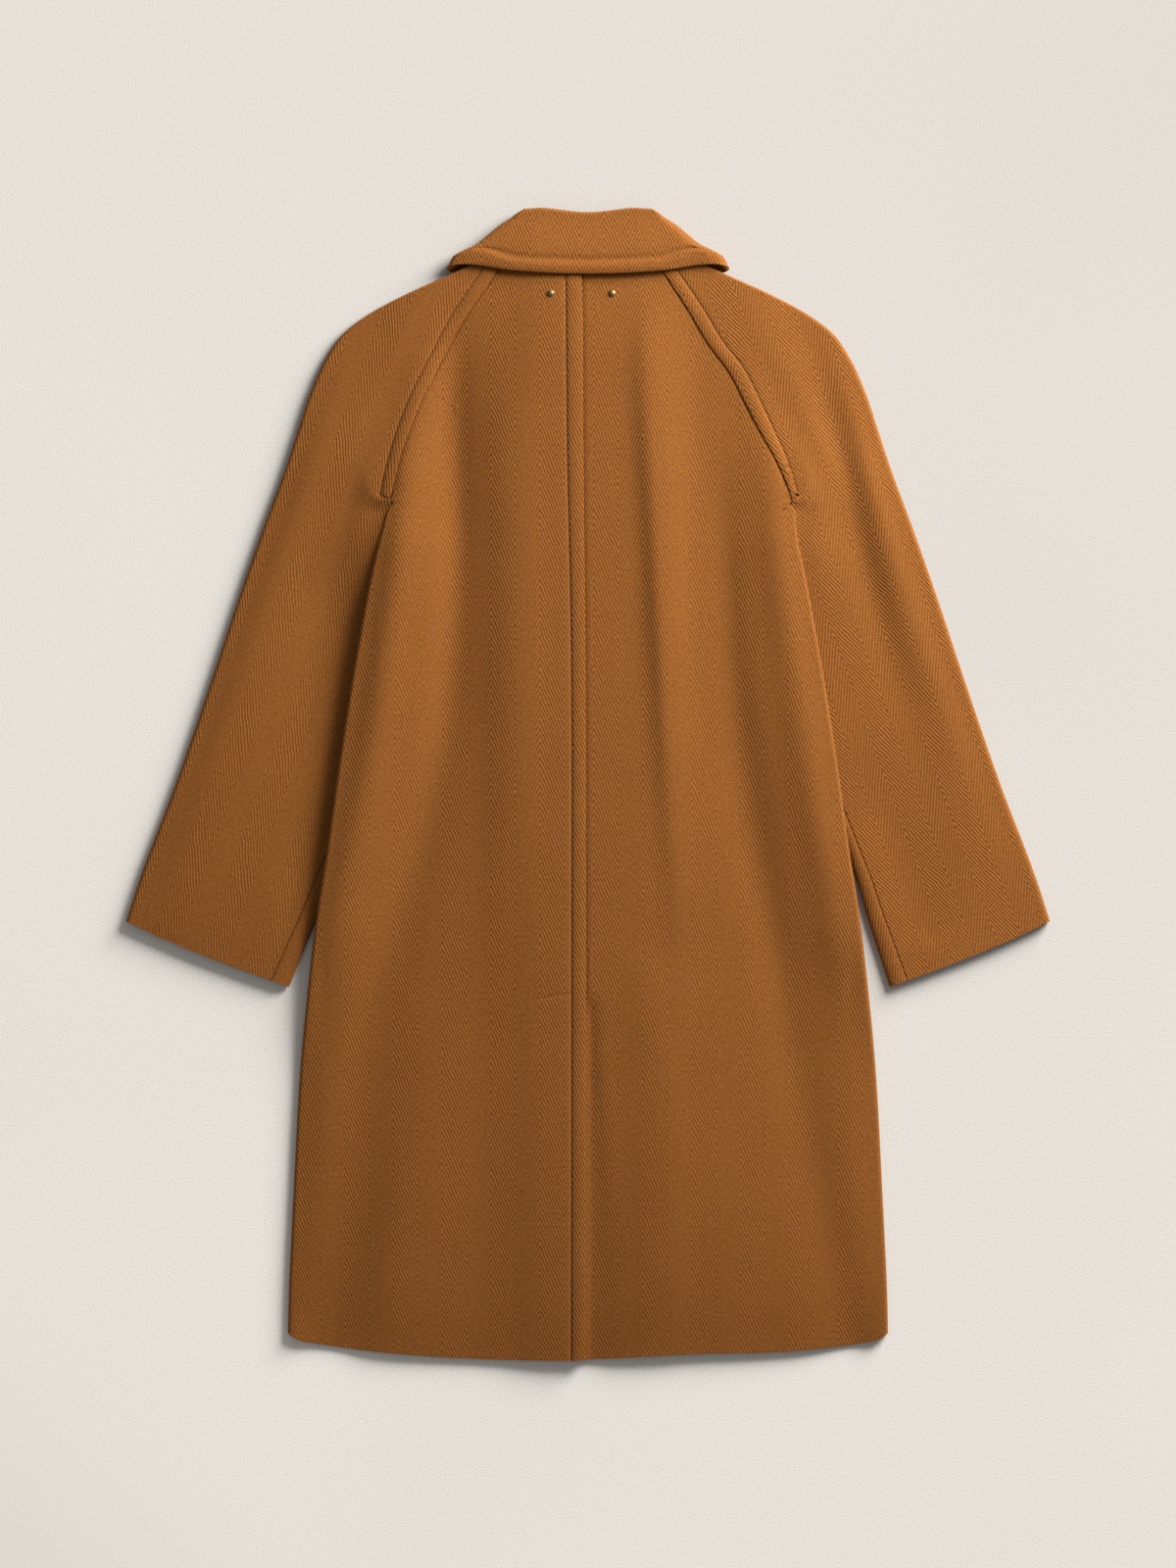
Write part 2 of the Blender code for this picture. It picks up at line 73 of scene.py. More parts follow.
# %% Places on the pattern
HEM_CURVE = 20.0       # how much the hem rises from the centre to the sides
HALF_HEM = 276.0
NECK_BACK_Y = 494.0
NECK_FRONT_Y = 411.0
NECK_SIDE = (90.0, 489.0)
CENTRE_LAP = 17.0
VENT_TOP_Y = -194.0
VENT_LAP = 42.0
FRONT_LAP = 40.0
UNDERARM_Y = 189.0
CREASE_Y = 260.0
RAGLAN_ALLOWANCE = 18.0
CUFF_INNER_Y = -187.0
CUFF_OUTER_Y = -126.5

BUTTON_DIAMETER = 23.0
BUTTON_THICK = 3.4
BUTTON_TOP_Y = 320.0
BUTTON_PITCH = 115.0
BUTTON_COUNT = 4
STUD_DIAMETER = 6.4
STUD_HEIGHT = 1.8
STUD_Y = 450.0
STUD_X = {"left": -34.2, "right": 22.0}
SIDES = {"left": -1, "right": 1}
print("cloth", CLOTH, "mm, hem", 2 * HALF_HEM, "mm wide,", BUTTON_COUNT, "buttons")

# %% Edge tables
# (y, half width) of the body at its rolled side edge
BODY_EDGE = (
    (262, 182.0), (247, 185.5), (202, 197.0), (135, 210.0), (67, 221.5), (0, 231.5),
    (-68, 241.0), (-111, 248.0), (-180, 256.5), (-252, 263.7), (-360, 270.0), (-504, 275.6),
    (-531, 276.0),
)
# (y, half width) of the sleeves' outer edge, from the neck over the shoulder to the cuff
SLEEVE_OUTER = (
    (489, 90), (472, 118), (466, 131), (450, 167), (432, 201), (414, 225), (396, 238), (360, 255),
    (324, 267), (288, 279), (234, 299), (180, 318), (90, 348), (0, 379), (-90, 413), (-127, 425),
)
# (y, distance from the centre) of the back raglan seam's fold edge
RAGLAN_BACK = {
    "left": ((494, 69), (465, 87), (432, 110), (383, 137), (351, 153), (324, 164), (297, 173),
             (260, 182)),
    "right": ((494, 54), (469, 70), (432, 94), (405, 110), (378, 130), (351, 144), (324, 158),
              (297, 173), (275, 182.6), (260, 188)),
}
# (y, distance from the centre) of the front raglan seam
RAGLAN_FRONT = ((470, 80), (430, 96), (396, 107.5), (358, 120.5), (326, 129.5), (302, 135),
                (260, 140.5), (222, 140.5), (189, 137.5))
# (y, distance from the centre) of a sleeve's inner edge
SLEEVE_INNER = {
    "left": ((260, 182), (189, 138), (100, 168), (0, 203), (-95, 239), (-127, 250.5), (-187, 275)),
    "right": ((260, 182), (189, 138), (100, 180), (0, 218), (-95, 249), (-127, 258), (-187, 277.5)),
}
# (y, distance) of the side seam from the body's rolled edge, along the underside
SIDE_SEAM = ((260, 8), (189, 61), (140, 38), (80, 25), (10, 12), (-60, 10), (-531, 10))
# (y, distance) of the underarm seam from the sleeve's inner edge, along the top side
UNDERARM_SEAM = ((189, 5), (0, 8), (-95, 14), (-187, 18))
# (y, height at the centre, height at the sides) of the back's top face
BACK_HEIGHT = (
    (500, 11.4, 11.4), (455, 13.4, 11.6), (400, 15.2, 10.8), (340, 14.8, 9.8), (250, 14.2, 9.2),
    (0, 14.2, 9.0), (-150, 13.0, 9.0), (-230, 12.2, 8.6), (-420, 11.7, 8.2), (-480, 10.0, 7.0),
    (-531, 7.0, 5.0),
)
# (y, distance from the centre) where the back has risen to its full height over the sleeve
SLEEVE_RISE = ((372, 178), (260, 176), (189, 174), (100, 182), (0, 206), (-95, 238), (-187, 262),
               (-290, 270))
# (y, x of the left back's fold edge, x of its stitch line) down the centre back
CENTRE_STRIP = ((494, -6.3, -20.8), (423, -4.7, -20.2), (316, -4.2, -19.3), (145, -2.5, -15.8),
                (-160, -1.6, -15.2), (-531, -2.2, -15.6))
# (y, distance from the fold edge to the stitch line) down the raglan seams
RAGLAN_STITCH = {
    "left": ((464, 15), (430, 13.4), (350, 12), (300, 11), (262, 10.5)),
    "right": ((464, 13), (430, 13), (350, 13), (320, 11.5), (300, 9.6), (264, 6.2)),
}
RAGLAN_STITCH_END = {"left": 260.5, "right": 265.0}
print("edge tables:", len(BODY_EDGE) + len(SLEEVE_OUTER), "rows for the outline")

# %% [markdown]
# ## Folds laid one by one
#
# Thick wool doesn't crumple. It lies in a few long, soft rolls that fall from the shoulders, and
# each starts, swells and dies out in its own place. A fold is a table of points on its crest, with
# a half width to each side because one flank is often steeper, and a height. A negative height is
# a trough. Placing them one by one keeps each one where the coat has it, which a simulation
# wouldn't.

# %% Fold tables
# Each row: (y, x, half width on the left, half width on the right, height)
BACK_FOLDS = (
    ((400, -145, 16, 18, 0.0), (330, -160, 16, 18, 3.4), (180, -178, 16, 20, 5.4),
     (45, -197, 16, 22, 5.0), (-90, -222, 16, 24, 3.6), (-250, -240, 18, 24, 0.8),
     (-400, -250, 18, 24, 0)),
    ((450, -118, 18, 16, 0.0), (378, -122, 18, 16, -3.4), (180, -122, 18, 17, -5.2),
     (45, -133, 20, 20, -4.2), (-90, -164, 22, 24, -2.8), (-225, -198, 22, 26, -2.2),
     (-380, -218, 26, 26, -2.0), (-545, -232, 26, 26, -1.6)),
    ((420, -70, 24, 30, 0.0), (330, -74, 24, 26, 2.6), (180, -72, 26, 26, 3.6),
     (0, -74, 30, 26, 3.4), (-150, -84, 36, 34, 1.8), (-330, -96, 40, 44, 0.6),
     (-400, -100, 40, 44, 0)),
    ((-180, -146, 26, 40, 0.0), (-270, -146, 28, 44, 1.6), (-360, -162, 28, 46, 2.6),
     (-480, -182, 28, 50, 2.2), (-545, -190, 28, 50, 0.8)),
    ((460, 54, 13, 26, 0.0), (370, 55, 13, 30, 3.0), (250, 62, 12, 34, 5.0),
     (150, 67, 12, 36, 6.0), (45, 73, 13, 36, 5.4), (-90, 83, 16, 38, 3.2),
     (-220, 96, 22, 38, 0.8), (-300, 110, 26, 36, 0.0)),
    ((330, 118, 16, 16, 0.0), (215, 126, 16, 14, -1.8), (90, 134, 18, 16, -2.8),
     (-45, 152, 20, 18, -2.6), (-180, 176, 22, 20, -2.6), (-315, 200, 24, 22, -2.6),
     (-450, 226, 24, 20, -2.2), (-545, 240, 24, 20, -2.0)),
    ((400, 142, 16, 14, 0.0), (290, 166, 20, 15, 2.4), (180, 179, 18, 16, 3.6),
     (90, 192, 18, 16, 3.4), (-45, 212, 17, 18, 2.6), (-180, 231, 18, 18, 1.6),
     (-300, 244, 18, 18, 0)),
    ((-150, 66, 26, 60, 0.0), (-210, 68, 30, 64, 2.4), (-300, 84, 36, 62, 4.4),
     (-400, 88, 40, 80, 5.2), (-470, 86, 38, 92, 4.4), (-545, 86, 38, 92, 1.8)),
)
# The same on the sleeves: y runs along the sleeve's grain, x across it from the sleeve's middle
SLEEVE_FOLDS = {
    "left": (
        ((240, 8, 12, 24, 0.0), (190, 3, 13, 26, -2.4), (122, -9, 15, 32, -4.4),
         (-79, -51, 16, 34, -4.4), (-169, -70, 16, 30, -3.6), (-240, -84, 14, 26, 0)),
        ((330, 66, 20, 20, 0.0), (206, 62, 24, 16, 2.2), (19, 58, 30, 18, 2.4),
         (-150, 50, 34, 20, 1.4), (-260, 46, 34, 20, 0.4)),
        ((120, 14, 22, 22, 0.0), (20, 0, 24, 24, -1.4), (-150, -14, 26, 30, -1.2),
         (-260, -20, 26, 30, 0)),
    ),
    "right": (
        ((330, 46, 18, 16, 0.0), (222, 42, 18, 14, -3.0), (125, 28, 18, 14, -3.0),
         (50, 22, 18, 16, -2.0), (-60, 12, 20, 20, 0.0)),
        ((330, 78, 16, 18, 0.0), (222, 70, 15, 18, 2.6), (125, 56, 15, 22, 3.0),
         (40, 48, 16, 24, 2.6), (-60, 48, 20, 26, 2.2), (-180, 34, 26, 30, 0.8),
         (-260, 30, 26, 30, 0)),
        ((-60, -30, 18, 26, 0.0), (-150, -34, 20, 26, -1.6), (-240, -36, 22, 26, -1.0)),
    ),
}
print("folds:", len(BACK_FOLDS), "on the back,", *map(len, SLEEVE_FOLDS.values()), "on a sleeve")

# %% [markdown]
# ## Reading the tables
#
# numpy reads a whole panel of points at once, so a dense cloth takes a moment instead of minutes.
# `straight` joins the rows of a table with straight lines, and `curve` joins them with one smooth
# curve, as a tailor's curved ruler does. `soft` is the gentle step that all the folds are made of.


# %% Helpers for tables and steps
def soft(value):
    """0 below 0, 1 above 1, and a gentle step between."""
    value = np.clip(value, 0.0, 1.0)
    return value * value * (3 - 2 * value)


def lerp(start, end, share):
    """A value or a point between two others."""
    return start + (end - start) * share


def straight(table, y, column=1):
    """A table's column at the heights y, straight between its rows."""
    rows = np.array(sorted(table), float)
    return np.interp(y, rows[:, 0], rows[:, column])


def curve(table, y, column=1):
    """A table's column at the heights y, on one smooth curve through its rows."""
    rows = np.array(sorted(table), float)
    knots, values = rows[:, 0], rows[:, column]
    slopes = np.gradient(values, knots)
    y = np.clip(y, knots[0], knots[-1])
    low = np.clip(np.searchsorted(knots, y) - 1, 0, len(knots) - 2)
    width = knots[low + 1] - knots[low]
    t = (y - knots[low]) / width
    ends = (1 + 2 * t) * (1 - t) ** 2 * values[low] + t * t * (3 - 2 * t) * values[low + 1]
    turns = t * (1 - t) ** 2 * slopes[low] - t * t * (1 - t) * slopes[low + 1]
    return ends + turns * width


def fold_relief(tables, x, y):
    """Height that a set of folds adds at the points (x, y)."""
    total = np.zeros(np.broadcast(x, y).shape)
    for table in tables:
        crest, left, right, height = (curve(table, y, column) for column in (1, 2, 3, 4))
        half = np.where(x < crest, left, right)
        low_end, high_end = min(table)[0], max(table)[0]
        inside = (y > low_end - 1) & (y < high_end + 1)
        total += np.where(inside, height * np.exp(-((x - crest) / half) ** 2), 0.0)
    return total


print("half way up a soft step:", float(soft(0.5)))

# %% [markdown]
# ## How high each layer lies
#
# From the surface up there are the collar leaves and the buttons, the sleeve fronts, the sleeve
# backs, the body fronts, the body backs and the collar. Each height function says where one of
# these faces is at a point, so neighbouring panels agree on it and never run through each other.


# %% Height functions
def floor_lift(x, y):
    """How high the lowest cloth lies: over the collar leaves and along the row of buttons."""
    collar = (COLLAR_CLOTH + LAYER_GAP) * soft((y - 308) / 40) * soft((178 - np.abs(x)) / 40)
    last_button = BUTTON_TOP_Y - (BUTTON_COUNT - 1) * BUTTON_PITCH
    buttons = (BUTTON_THICK + 2 * SEAM_GAP) * soft((44 - np.abs(x)) / 28)
    return np.maximum(collar, buttons * soft((y - last_button + 65) / 40))


def sleeve_inner(x, y):
    """The inner edge of the sleeve on the side where x is, at height y."""
    y = np.maximum(y, CUFF_INNER_Y)
    return np.where(x < 0, straight(SLEEVE_INNER["left"], y), straight(SLEEVE_INNER["right"], y))


def beside_cuff(y):
    """1 along the sleeves, fading to 0 just below their cuffs."""
    return soft((y - CUFF_INNER_Y + 18) / 75)


def body_edge(x, y):
    """Half width at the body's rolled edge, which swells below the right raglan seam."""
    return curve(BODY_EDGE, y) + 6.2 * np.exp(-((y - 258) / 26) ** 2) * (x > 0)


def over_sleeve(x, y):
    """0 beside a sleeve, 1 where the body lies on it."""
    inner = np.minimum(sleeve_inner(x, y), curve(BODY_EDGE, y) - 2)
    start = SLEEVE_STEP - 4 + 4 * soft((y - UNDERARM_Y) / 10)
    step = soft((np.abs(x) - inner + start) / SLEEVE_STEP)
    return step * beside_cuff(y) * soft((330 - y) / 60)


def front_low(x, y):
    """Underside of the body's fronts."""
    return np.maximum(floor_lift(x, y), (TUBE_HEIGHT + LAYER_GAP) * over_sleeve(x, y))


def roll_height(y):
    """Outside height of the body's rolled side edge."""
    return lerp(CREASE_ROLL, BODY_ROLL, soft((CREASE_Y - y) / 45))


def back_top(x, y):
    """Top face of the back, with its folds but without its lapped edges."""
    centre = soft((105 - np.abs(x)) / 60)
    height = lerp(curve(BACK_HEIGHT, y, 2), curve(BACK_HEIGHT, y, 1), centre)
    edge = body_edge(x, y)
    bridge = soft((y + 290) / 165)
    edge_height = (TUBE_HEIGHT + LAYER_GAP) * bridge + roll_height(y)
    by_edge = soft((np.abs(x) - edge + 30) / 30)
    by_sleeve = soft((np.abs(x) - curve(SLEEVE_RISE, y) + 88) / 88) * bridge
    by_side = np.maximum(by_edge, by_sleeve) * soft((372 - y) / 120)
    return lerp(height, edge_height, by_side) + fold_relief(BACK_FOLDS, x, y)


print("back above the surface at the centre:", round(float(back_top(30.0, 0.0)), 1), "mm")


# %% [markdown]
# ## From rows of points to a cloth wall
#
# A panel starts as a bmesh grid whose points are then laid on the outer face. Solidify gives it the
# cloth's thickness on the inner side, and Bevel rounds the rim, because a turned edge of wool is
# never sharp. A UV map named `grain` holds each point's place on the flat cloth in metres. The
# weave follows that map, so it bends round a rolled edge as real threads do.


# %% Cloth from a grid
def length_along(points, axis):
    """Distance along each row (axis 1) or column (axis 0) of a grid of points."""
    steps = np.linalg.norm(np.diff(points, axis=axis), axis=-1)
    zero = np.zeros_like(np.take(steps, [0], axis=axis))
    return np.cumsum(np.concatenate([zero, steps], axis=axis), axis=axis)


def in_scene(name, data):
    """A new object for a mesh, a lamp or a camera."""
    thing = bpy.data.objects.new(name, data)
    bpy.context.collection.objects.link(thing)
    return thing


def from_bmesh(name, bm, finish):
    """A new mesh object with one finish, from a bmesh that isn't needed any more."""
    mesh = bpy.data.meshes.new(name)
    bm.to_mesh(mesh)
    bm.free()
    mesh.materials.append(finish)
    return in_scene(name, mesh)


def cloth(name, points, grain, up, wall, finish, rim=0.9):
    """A cloth piece from an outer face of points (rows, columns, 3) in millimetres."""
    rows, columns = points.shape[:2]
    bm = bmesh.new()
    bmesh.ops.create_grid(bm, x_segments=columns - 1, y_segments=rows - 1, size=1)
    piece = from_bmesh(name, bm, finish)
    mesh = piece.data
    mesh.vertices.foreach_set("co", (points * MM).ravel())
    mesh.update()
    middle = np.array([face.normal.z for face in mesh.polygons]).reshape(rows - 1, columns - 1)
    if middle[:, (columns - 1) // 2].sum() * up < 0:
        mesh.flip_normals()
    corners = np.zeros(len(mesh.loops), int)
    mesh.loops.foreach_get("vertex_index", corners)
    layer = mesh.uv_layers.new(name="grain")
    layer.uv.foreach_set("vector", (grain.reshape(-1, 2)[corners] * MM).ravel())
    mesh.shade_smooth()
    wall_step = piece.modifiers.new("wall", "SOLIDIFY")
    wall_step.thickness = wall * MM
    wall_step.offset = -1
    rim_step = piece.modifiers.new("rim", "BEVEL")
    rim_step.width = rim * MM
    rim_step.segments = 3
    rim_step.limit_method = "ANGLE"
    rim_step.angle_limit = math.radians(60)
    return piece


def flat_size(points):
    """(width, length, area) in metres of the flat cloth that a grid of points was cut from."""
    across = length_along(points, 1)[:, -1].max() * MM
    along = length_along(points, 0)[-1].max() * MM
    one = np.cross(points[1:, :-1] - points[:-1, :-1], points[:-1, 1:] - points[:-1, :-1])
    two = np.cross(points[1:, 1:] - points[:-1, 1:], points[1:, 1:] - points[1:, :-1])
    area = (np.linalg.norm(one, axis=-1).sum() + np.linalg.norm(two, axis=-1).sum()) / 2 * MM * MM
    return across, along, area


def finish_sheet(piece, node, points):
    """Ties a cloth piece to its solid, and states the flat size it was cut to."""
    across, along, area = flat_size(points)
    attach(piece, "root")
    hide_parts(node)
    area = min(area, across * along)
    print(f"{node}: {len(points)} rows, cut {across:.3f} x {along:.3f} m, {area:.3f} m2")


# %% [markdown]
# ## The finish: herringbone wool with a brushed nap
#
# Herringbone is a twill whose diagonal turns back on itself in columns. Each column here is half of
# a 45 mm repeat, and its ribs lean 24 degrees from the thread that runs down the coat. The nap is
# brushed, so the ribs are soft, a little uneven, and sprinkled with lighter and darker fibres. The
# maths is written as Python expressions on a small class that turns them into nodes.


# %% Shader maths as Python
class Finish:
    """A new material. add() makes one node, with its settings first and then its sockets."""

    def __init__(self, name):
        self.material = bpy.data.materials.new(name)
        self.material.use_nodes = True
        self.tree = self.material.node_tree
        self.shader = self.tree.nodes["Principled BSDF"]

    def add(self, kind, settings, sockets, output=0):
        node = self.tree.nodes.new(kind)
        for key, value in settings.items():
            setattr(node, key, value)
        for key, value in sockets.items():
            self.feed(node.inputs[key], value)
        return Value(self, node.outputs[output])

    def feed(self, socket, value):
        if isinstance(value, Value):
            self.tree.links.new(value.socket, socket)
        else:
            socket.default_value = value

    def surface(self, **values):
        """Settings of the shader: a link for what varies over the surface, or else a number."""
        for key, value in values.items():
            self.feed(self.shader.inputs[key.replace("_", " ")], value)

    def place(self):
        """Coordinates on the piece, in metres."""
        return self.add("ShaderNodeTexCoord", {}, {}, output=3)

    def bump(self, height, distance, strength=1.0):
        """A surface direction that follows a height."""
        sockets = {"Strength": strength, "Distance": distance, "Height": height}
        return self.add("ShaderNodeBump", {}, sockets)


class Value:
    """A node's output. Python's operators on it add Math nodes."""

    def __init__(self, finish, socket):
        self.finish = finish
        self.socket = socket

    def maths(self, operation, *values):
        sockets = dict(enumerate(values))
        return self.finish.add("ShaderNodeMath", {"operation": operation}, sockets)

    def __add__(self, other):
        return self.maths("ADD", self, other)

    __radd__ = __add__

    def __sub__(self, other):
        return self.maths("SUBTRACT", self, other)

    def __rsub__(self, other):
        return self.maths("SUBTRACT", other, self)

    def __mul__(self, other):
        return self.maths("MULTIPLY", self, other)

    __rmul__ = __mul__

    def __truediv__(self, other):
        return self.maths("DIVIDE", self, other)

    def __gt__(self, other):
        return self.maths("GREATER_THAN", self, other)

    def __abs__(self):
        return self.maths("ABSOLUTE", self)

    def fraction(self):
        return self.maths("FRACT", self)

    def whole(self):
        return self.maths("FLOOR", self)

    def along(self, axis):
        """The x (0) or y (1) of coordinates."""
        return self.finish.add("ShaderNodeSeparateXYZ", {}, {0: self}, output=axis)

    def cosine(self):
        return self.maths("COSINE", self)


def blend(finish, share, dark, light):
    """A colour between two others."""
    settings = {"data_type": "RGBA"}
    sockets = {0: share, 6: (*dark, 1), 7: (*light, 1)}
    return finish.add("ShaderNodeMix", settings, sockets, output=2)


def grains(finish, place, scale, detail=2.0, roughness=0.55):
    """Fine random grains, from 0 to 1, at so many to the metre."""
    sockets = {"Vector": place, "Scale": scale, "Detail": detail, "Roughness": roughness}
    return finish.add("ShaderNodeTexNoise", {"noise_dimensions": "3D"}, sockets)


# %% Herringbone wool
REPEAT = 0.045         # across two columns, in metres
RIB_PITCH = 0.00265    # from rib to rib, in metres
RIB_LEAN = math.radians(24)
# Where the weave's columns start on these pieces, in millimetres
GRAIN_SHIFT = {"back_left": 33.3, "back_right": -17.1, "collar_fall": 18.9}


def herringbone(name, dark, light, rib_depth):
    """Brushed herringbone wool on a piece's grain map."""
    wool = Finish(name)
    grain = wool.add("ShaderNodeUVMap", {"uv_map": "grain"}, {})
    u, v = grain.along(0), grain.along(1)
    wander = grains(wool, grain, 55.0, 1.0)
    patches = grains(wool, grain, 14.0, 2.0)
    column = (u / REPEAT + 0.25 + (wander - 0.5) * 0.03).fraction()
    zigzag = (0.5 - abs(column - 0.5)) * REPEAT
    turned = column > 0.5
    across_ribs = zigzag * math.cos(RIB_LEAN) + v * math.sin(RIB_LEAN) + (wander - 0.5) * 0.0022
    along_ribs = v * math.cos(RIB_LEAN) - zigzag * math.sin(RIB_LEAN)
    count = across_ribs / RIB_PITCH + turned * 0.5
    rib = (count * (2 * math.pi)).cosine() * 0.5 + 0.5
    bead = ((along_ribs / 0.0023 + count.whole() * 0.37) * (2 * math.pi)).cosine() * 0.5 + 0.5
    fibres = grains(wool, grain, 900.0, 3.0, 0.7)
    lint = grains(wool, grain, 330.0, 2.0, 0.6)
    relief = rib * 0.72 + bead * 0.12 + (fibres - 0.5) * 0.9 + (lint - 0.5) * 0.7
    tone = 0.5 + (rib - 0.5) * 0.22 + (fibres - 0.5) * 1.3 + (lint - 0.5) * 0.9
    tone = tone + (patches - 0.5) * 0.12
    wool.surface(Base_Color=blend(wool, tone, dark, light), Roughness=0.92,
                 Specular_IOR_Level=0.25, Sheen_Weight=0.14, Sheen_Roughness=0.45,
                 Sheen_Tint=(0.95, 0.60, 0.30, 1), Normal=wool.bump(relief, rib_depth))
    print(name, "nodes:", len(wool.tree.nodes))
    return wool.material


COAT_WOOL = herringbone("coat_wool_face", (0.115, 0.0326, 0.0031), (0.308, 0.1065, 0.0138), 0.00042)

# %% [markdown]
# ## The two back panels
#
# The left back laps over the right one down the whole centre back. The lap is turned under and
# stitched 14 mm in, so the strip between the fold and the stitches stands up like a flat cord and
# the stitches sit in a groove. Below the vent the same edge hangs free over the right back. Points
# are set close together around the edge and the groove, and far apart where the cloth is plain.


# %% Grooves and plump strips
def groove(distance, depth=1.0, width=0.9):
    """The dip that a line of topstitching pulls into thick wool."""
    sharp = np.exp(-(distance / width) ** 2)
    soft_sides = np.exp(-(distance / 3.2) ** 2)
    return -0.6 * depth * sharp - 0.2 * depth * soft_sides


def plump(distance, width, height=0.7):
    """The swelling of a lapped strip between its fold edge (0) and its stitch line (width)."""
    share = np.clip(distance / width, 0, 1)
    return height * np.sin(math.pi * share) ** 0.8


def spread(start, end, count):
    """Columns (rows, count) evenly from one edge to another, without the first."""
    shares = np.arange(1, count + 1) / count
    return start[:, None] + (end - start)[:, None] * shares


def body_rows():
    """Heights of the rows: even, and closer at the neck, the crease and the vent's top."""
    even = np.arange(-526.0, 492.0, 4.2)
    close = [np.arange(-201.5, -187.0, 0.8), np.arange(246.0, 264.0, 1.6)]
    ends = [-530.6, -529.2, 492.6, 494.0]
    rows = np.unique(np.concatenate([even, *close, ends]))
    keep = np.concatenate([[True], np.diff(rows) > 0.5])
    return rows[keep][::-1]


def neck_back(x):
    """The back neck seam."""
    beyond = np.maximum(np.abs(x) - 60, 0) / (NECK_SIDE[0] - 60)
    return NECK_BACK_Y + (NECK_SIDE[1] - NECK_BACK_Y) * beyond


def body_y(across, y):
    """Moves the rows so that the first ones follow the neck and the last ones the hem."""
    hem = HEM_CURVE * (np.minimum(np.abs(across), HALF_HEM) / HALF_HEM) ** 2.6
    corner = 5.5 * np.clip((np.abs(across) - 262) / 14, 0, 1) ** 2 * soft((-500 - y) / 30)
    neck = (neck_back(across) - NECK_BACK_Y) * soft((y - 470) / 20)
    return y + hem * soft((-380 - y) / 150) + corner + neck


print("body rows:", len(body_rows()))

# %% Profile of a back panel
TURNS = np.array([14, 28, 45, 62, 80, 100, 120, 140, 160, 180])
UNDER = 8
SWAP_TOP, SWAP_END = 258.0, 250.0      # between these the back's edge comes out over the sleeve


def roll(edge, outward, low, high, degrees):
    """(across, z) around a rolled edge: 0 degrees is its top and 180 its underside."""
    angle = np.radians(np.asarray(degrees, float))
    radius = (np.asarray(high - low) / 2)[:, None]
    across = np.asarray(edge)[:, None] - outward * radius * (1 - np.sin(angle))
    return across, (np.asarray(low + high) / 2)[:, None] + radius * np.cos(angle)


def back_columns(side, y):
    """Distances from the centre of the first columns of a back panel, up to its plain part."""
    fold = -curve(CENTRE_STRIP, y, 1)
    stitch = -curve(CENTRE_STRIP, y, 2)
    if side == "left":
        by_fold = fold[:, None] + np.array([0, 1.2, 2.4, 3.8, 5.6, 7.6, 9.4])
        by_stitch = stitch[:, None] + np.array(
            [-3.2, -2.0, -1.2, -0.6, 0, 0.6, 1.2, 2.0, 3.2, 5, 8, 12])
        return np.concatenate([by_fold, by_stitch], axis=1)
    lap = np.where(y < VENT_TOP_Y, VENT_LAP, CENTRE_LAP)
    hidden = [lerp(-lap, 1 - CENTRE_LAP, share) for share in (0, 0.31, 0.62, 0.8, 1)]
    near = np.broadcast_to([-11.0, -8, -5, -2.5, 0, 2.5, 5.5, 9, 13], (len(y), 9))
    return -fold[:, None] + np.concatenate([np.stack(hidden, axis=1), near], axis=1)


def back_detail(side, across, y):
    """What the lapped centre seam adds to the back's top face."""
    fold = -curve(CENTRE_STRIP, y, 1)
    stitch = -curve(CENTRE_STRIP, y, 2)
    if side == "left":
        lapped = CENTRE_RISE * soft((fold + 70 - across) / 54)
        strip = plump(across - fold, stitch - fold) * soft((across - fold + 1) / 2)
        slant = (y + 195.6) - (32 - across) * 0.19
        tack = np.hypot(np.maximum(np.abs(across - 32) - 14.5, 0), slant)
        return lapped + strip + groove(across - stitch) + groove(tack, 0.8, 0.8)
    edge = -fold
    under = LAP_DIP * soft((edge + 2.5 - across) / 6) - LAP_RISE * soft((edge - 17.5 - across) / 8)
    width = lerp(15, 38, soft((VENT_TOP_Y - y) / 300))
    vent = -2.7 * soft((VENT_TOP_Y + 8 - y) / 30) * soft((edge + width - across) / width)
    return under + vent * soft((across - edge + 2) / 6)


def hem_detail(side, across, y):
    """How far a panel's hem is above the even curve: a bow on the right, a round corner left."""
    if side == "right":
        return 4.6 * np.exp(-((across - 96) / 80) ** 2) * soft((-470 - y) / 60)
    corner = np.clip(1 - (across + curve(CENTRE_STRIP, y, 1)) / 7, 0, 1)
    return 3.0 * corner ** 2 * soft((-518 - y) / 12)


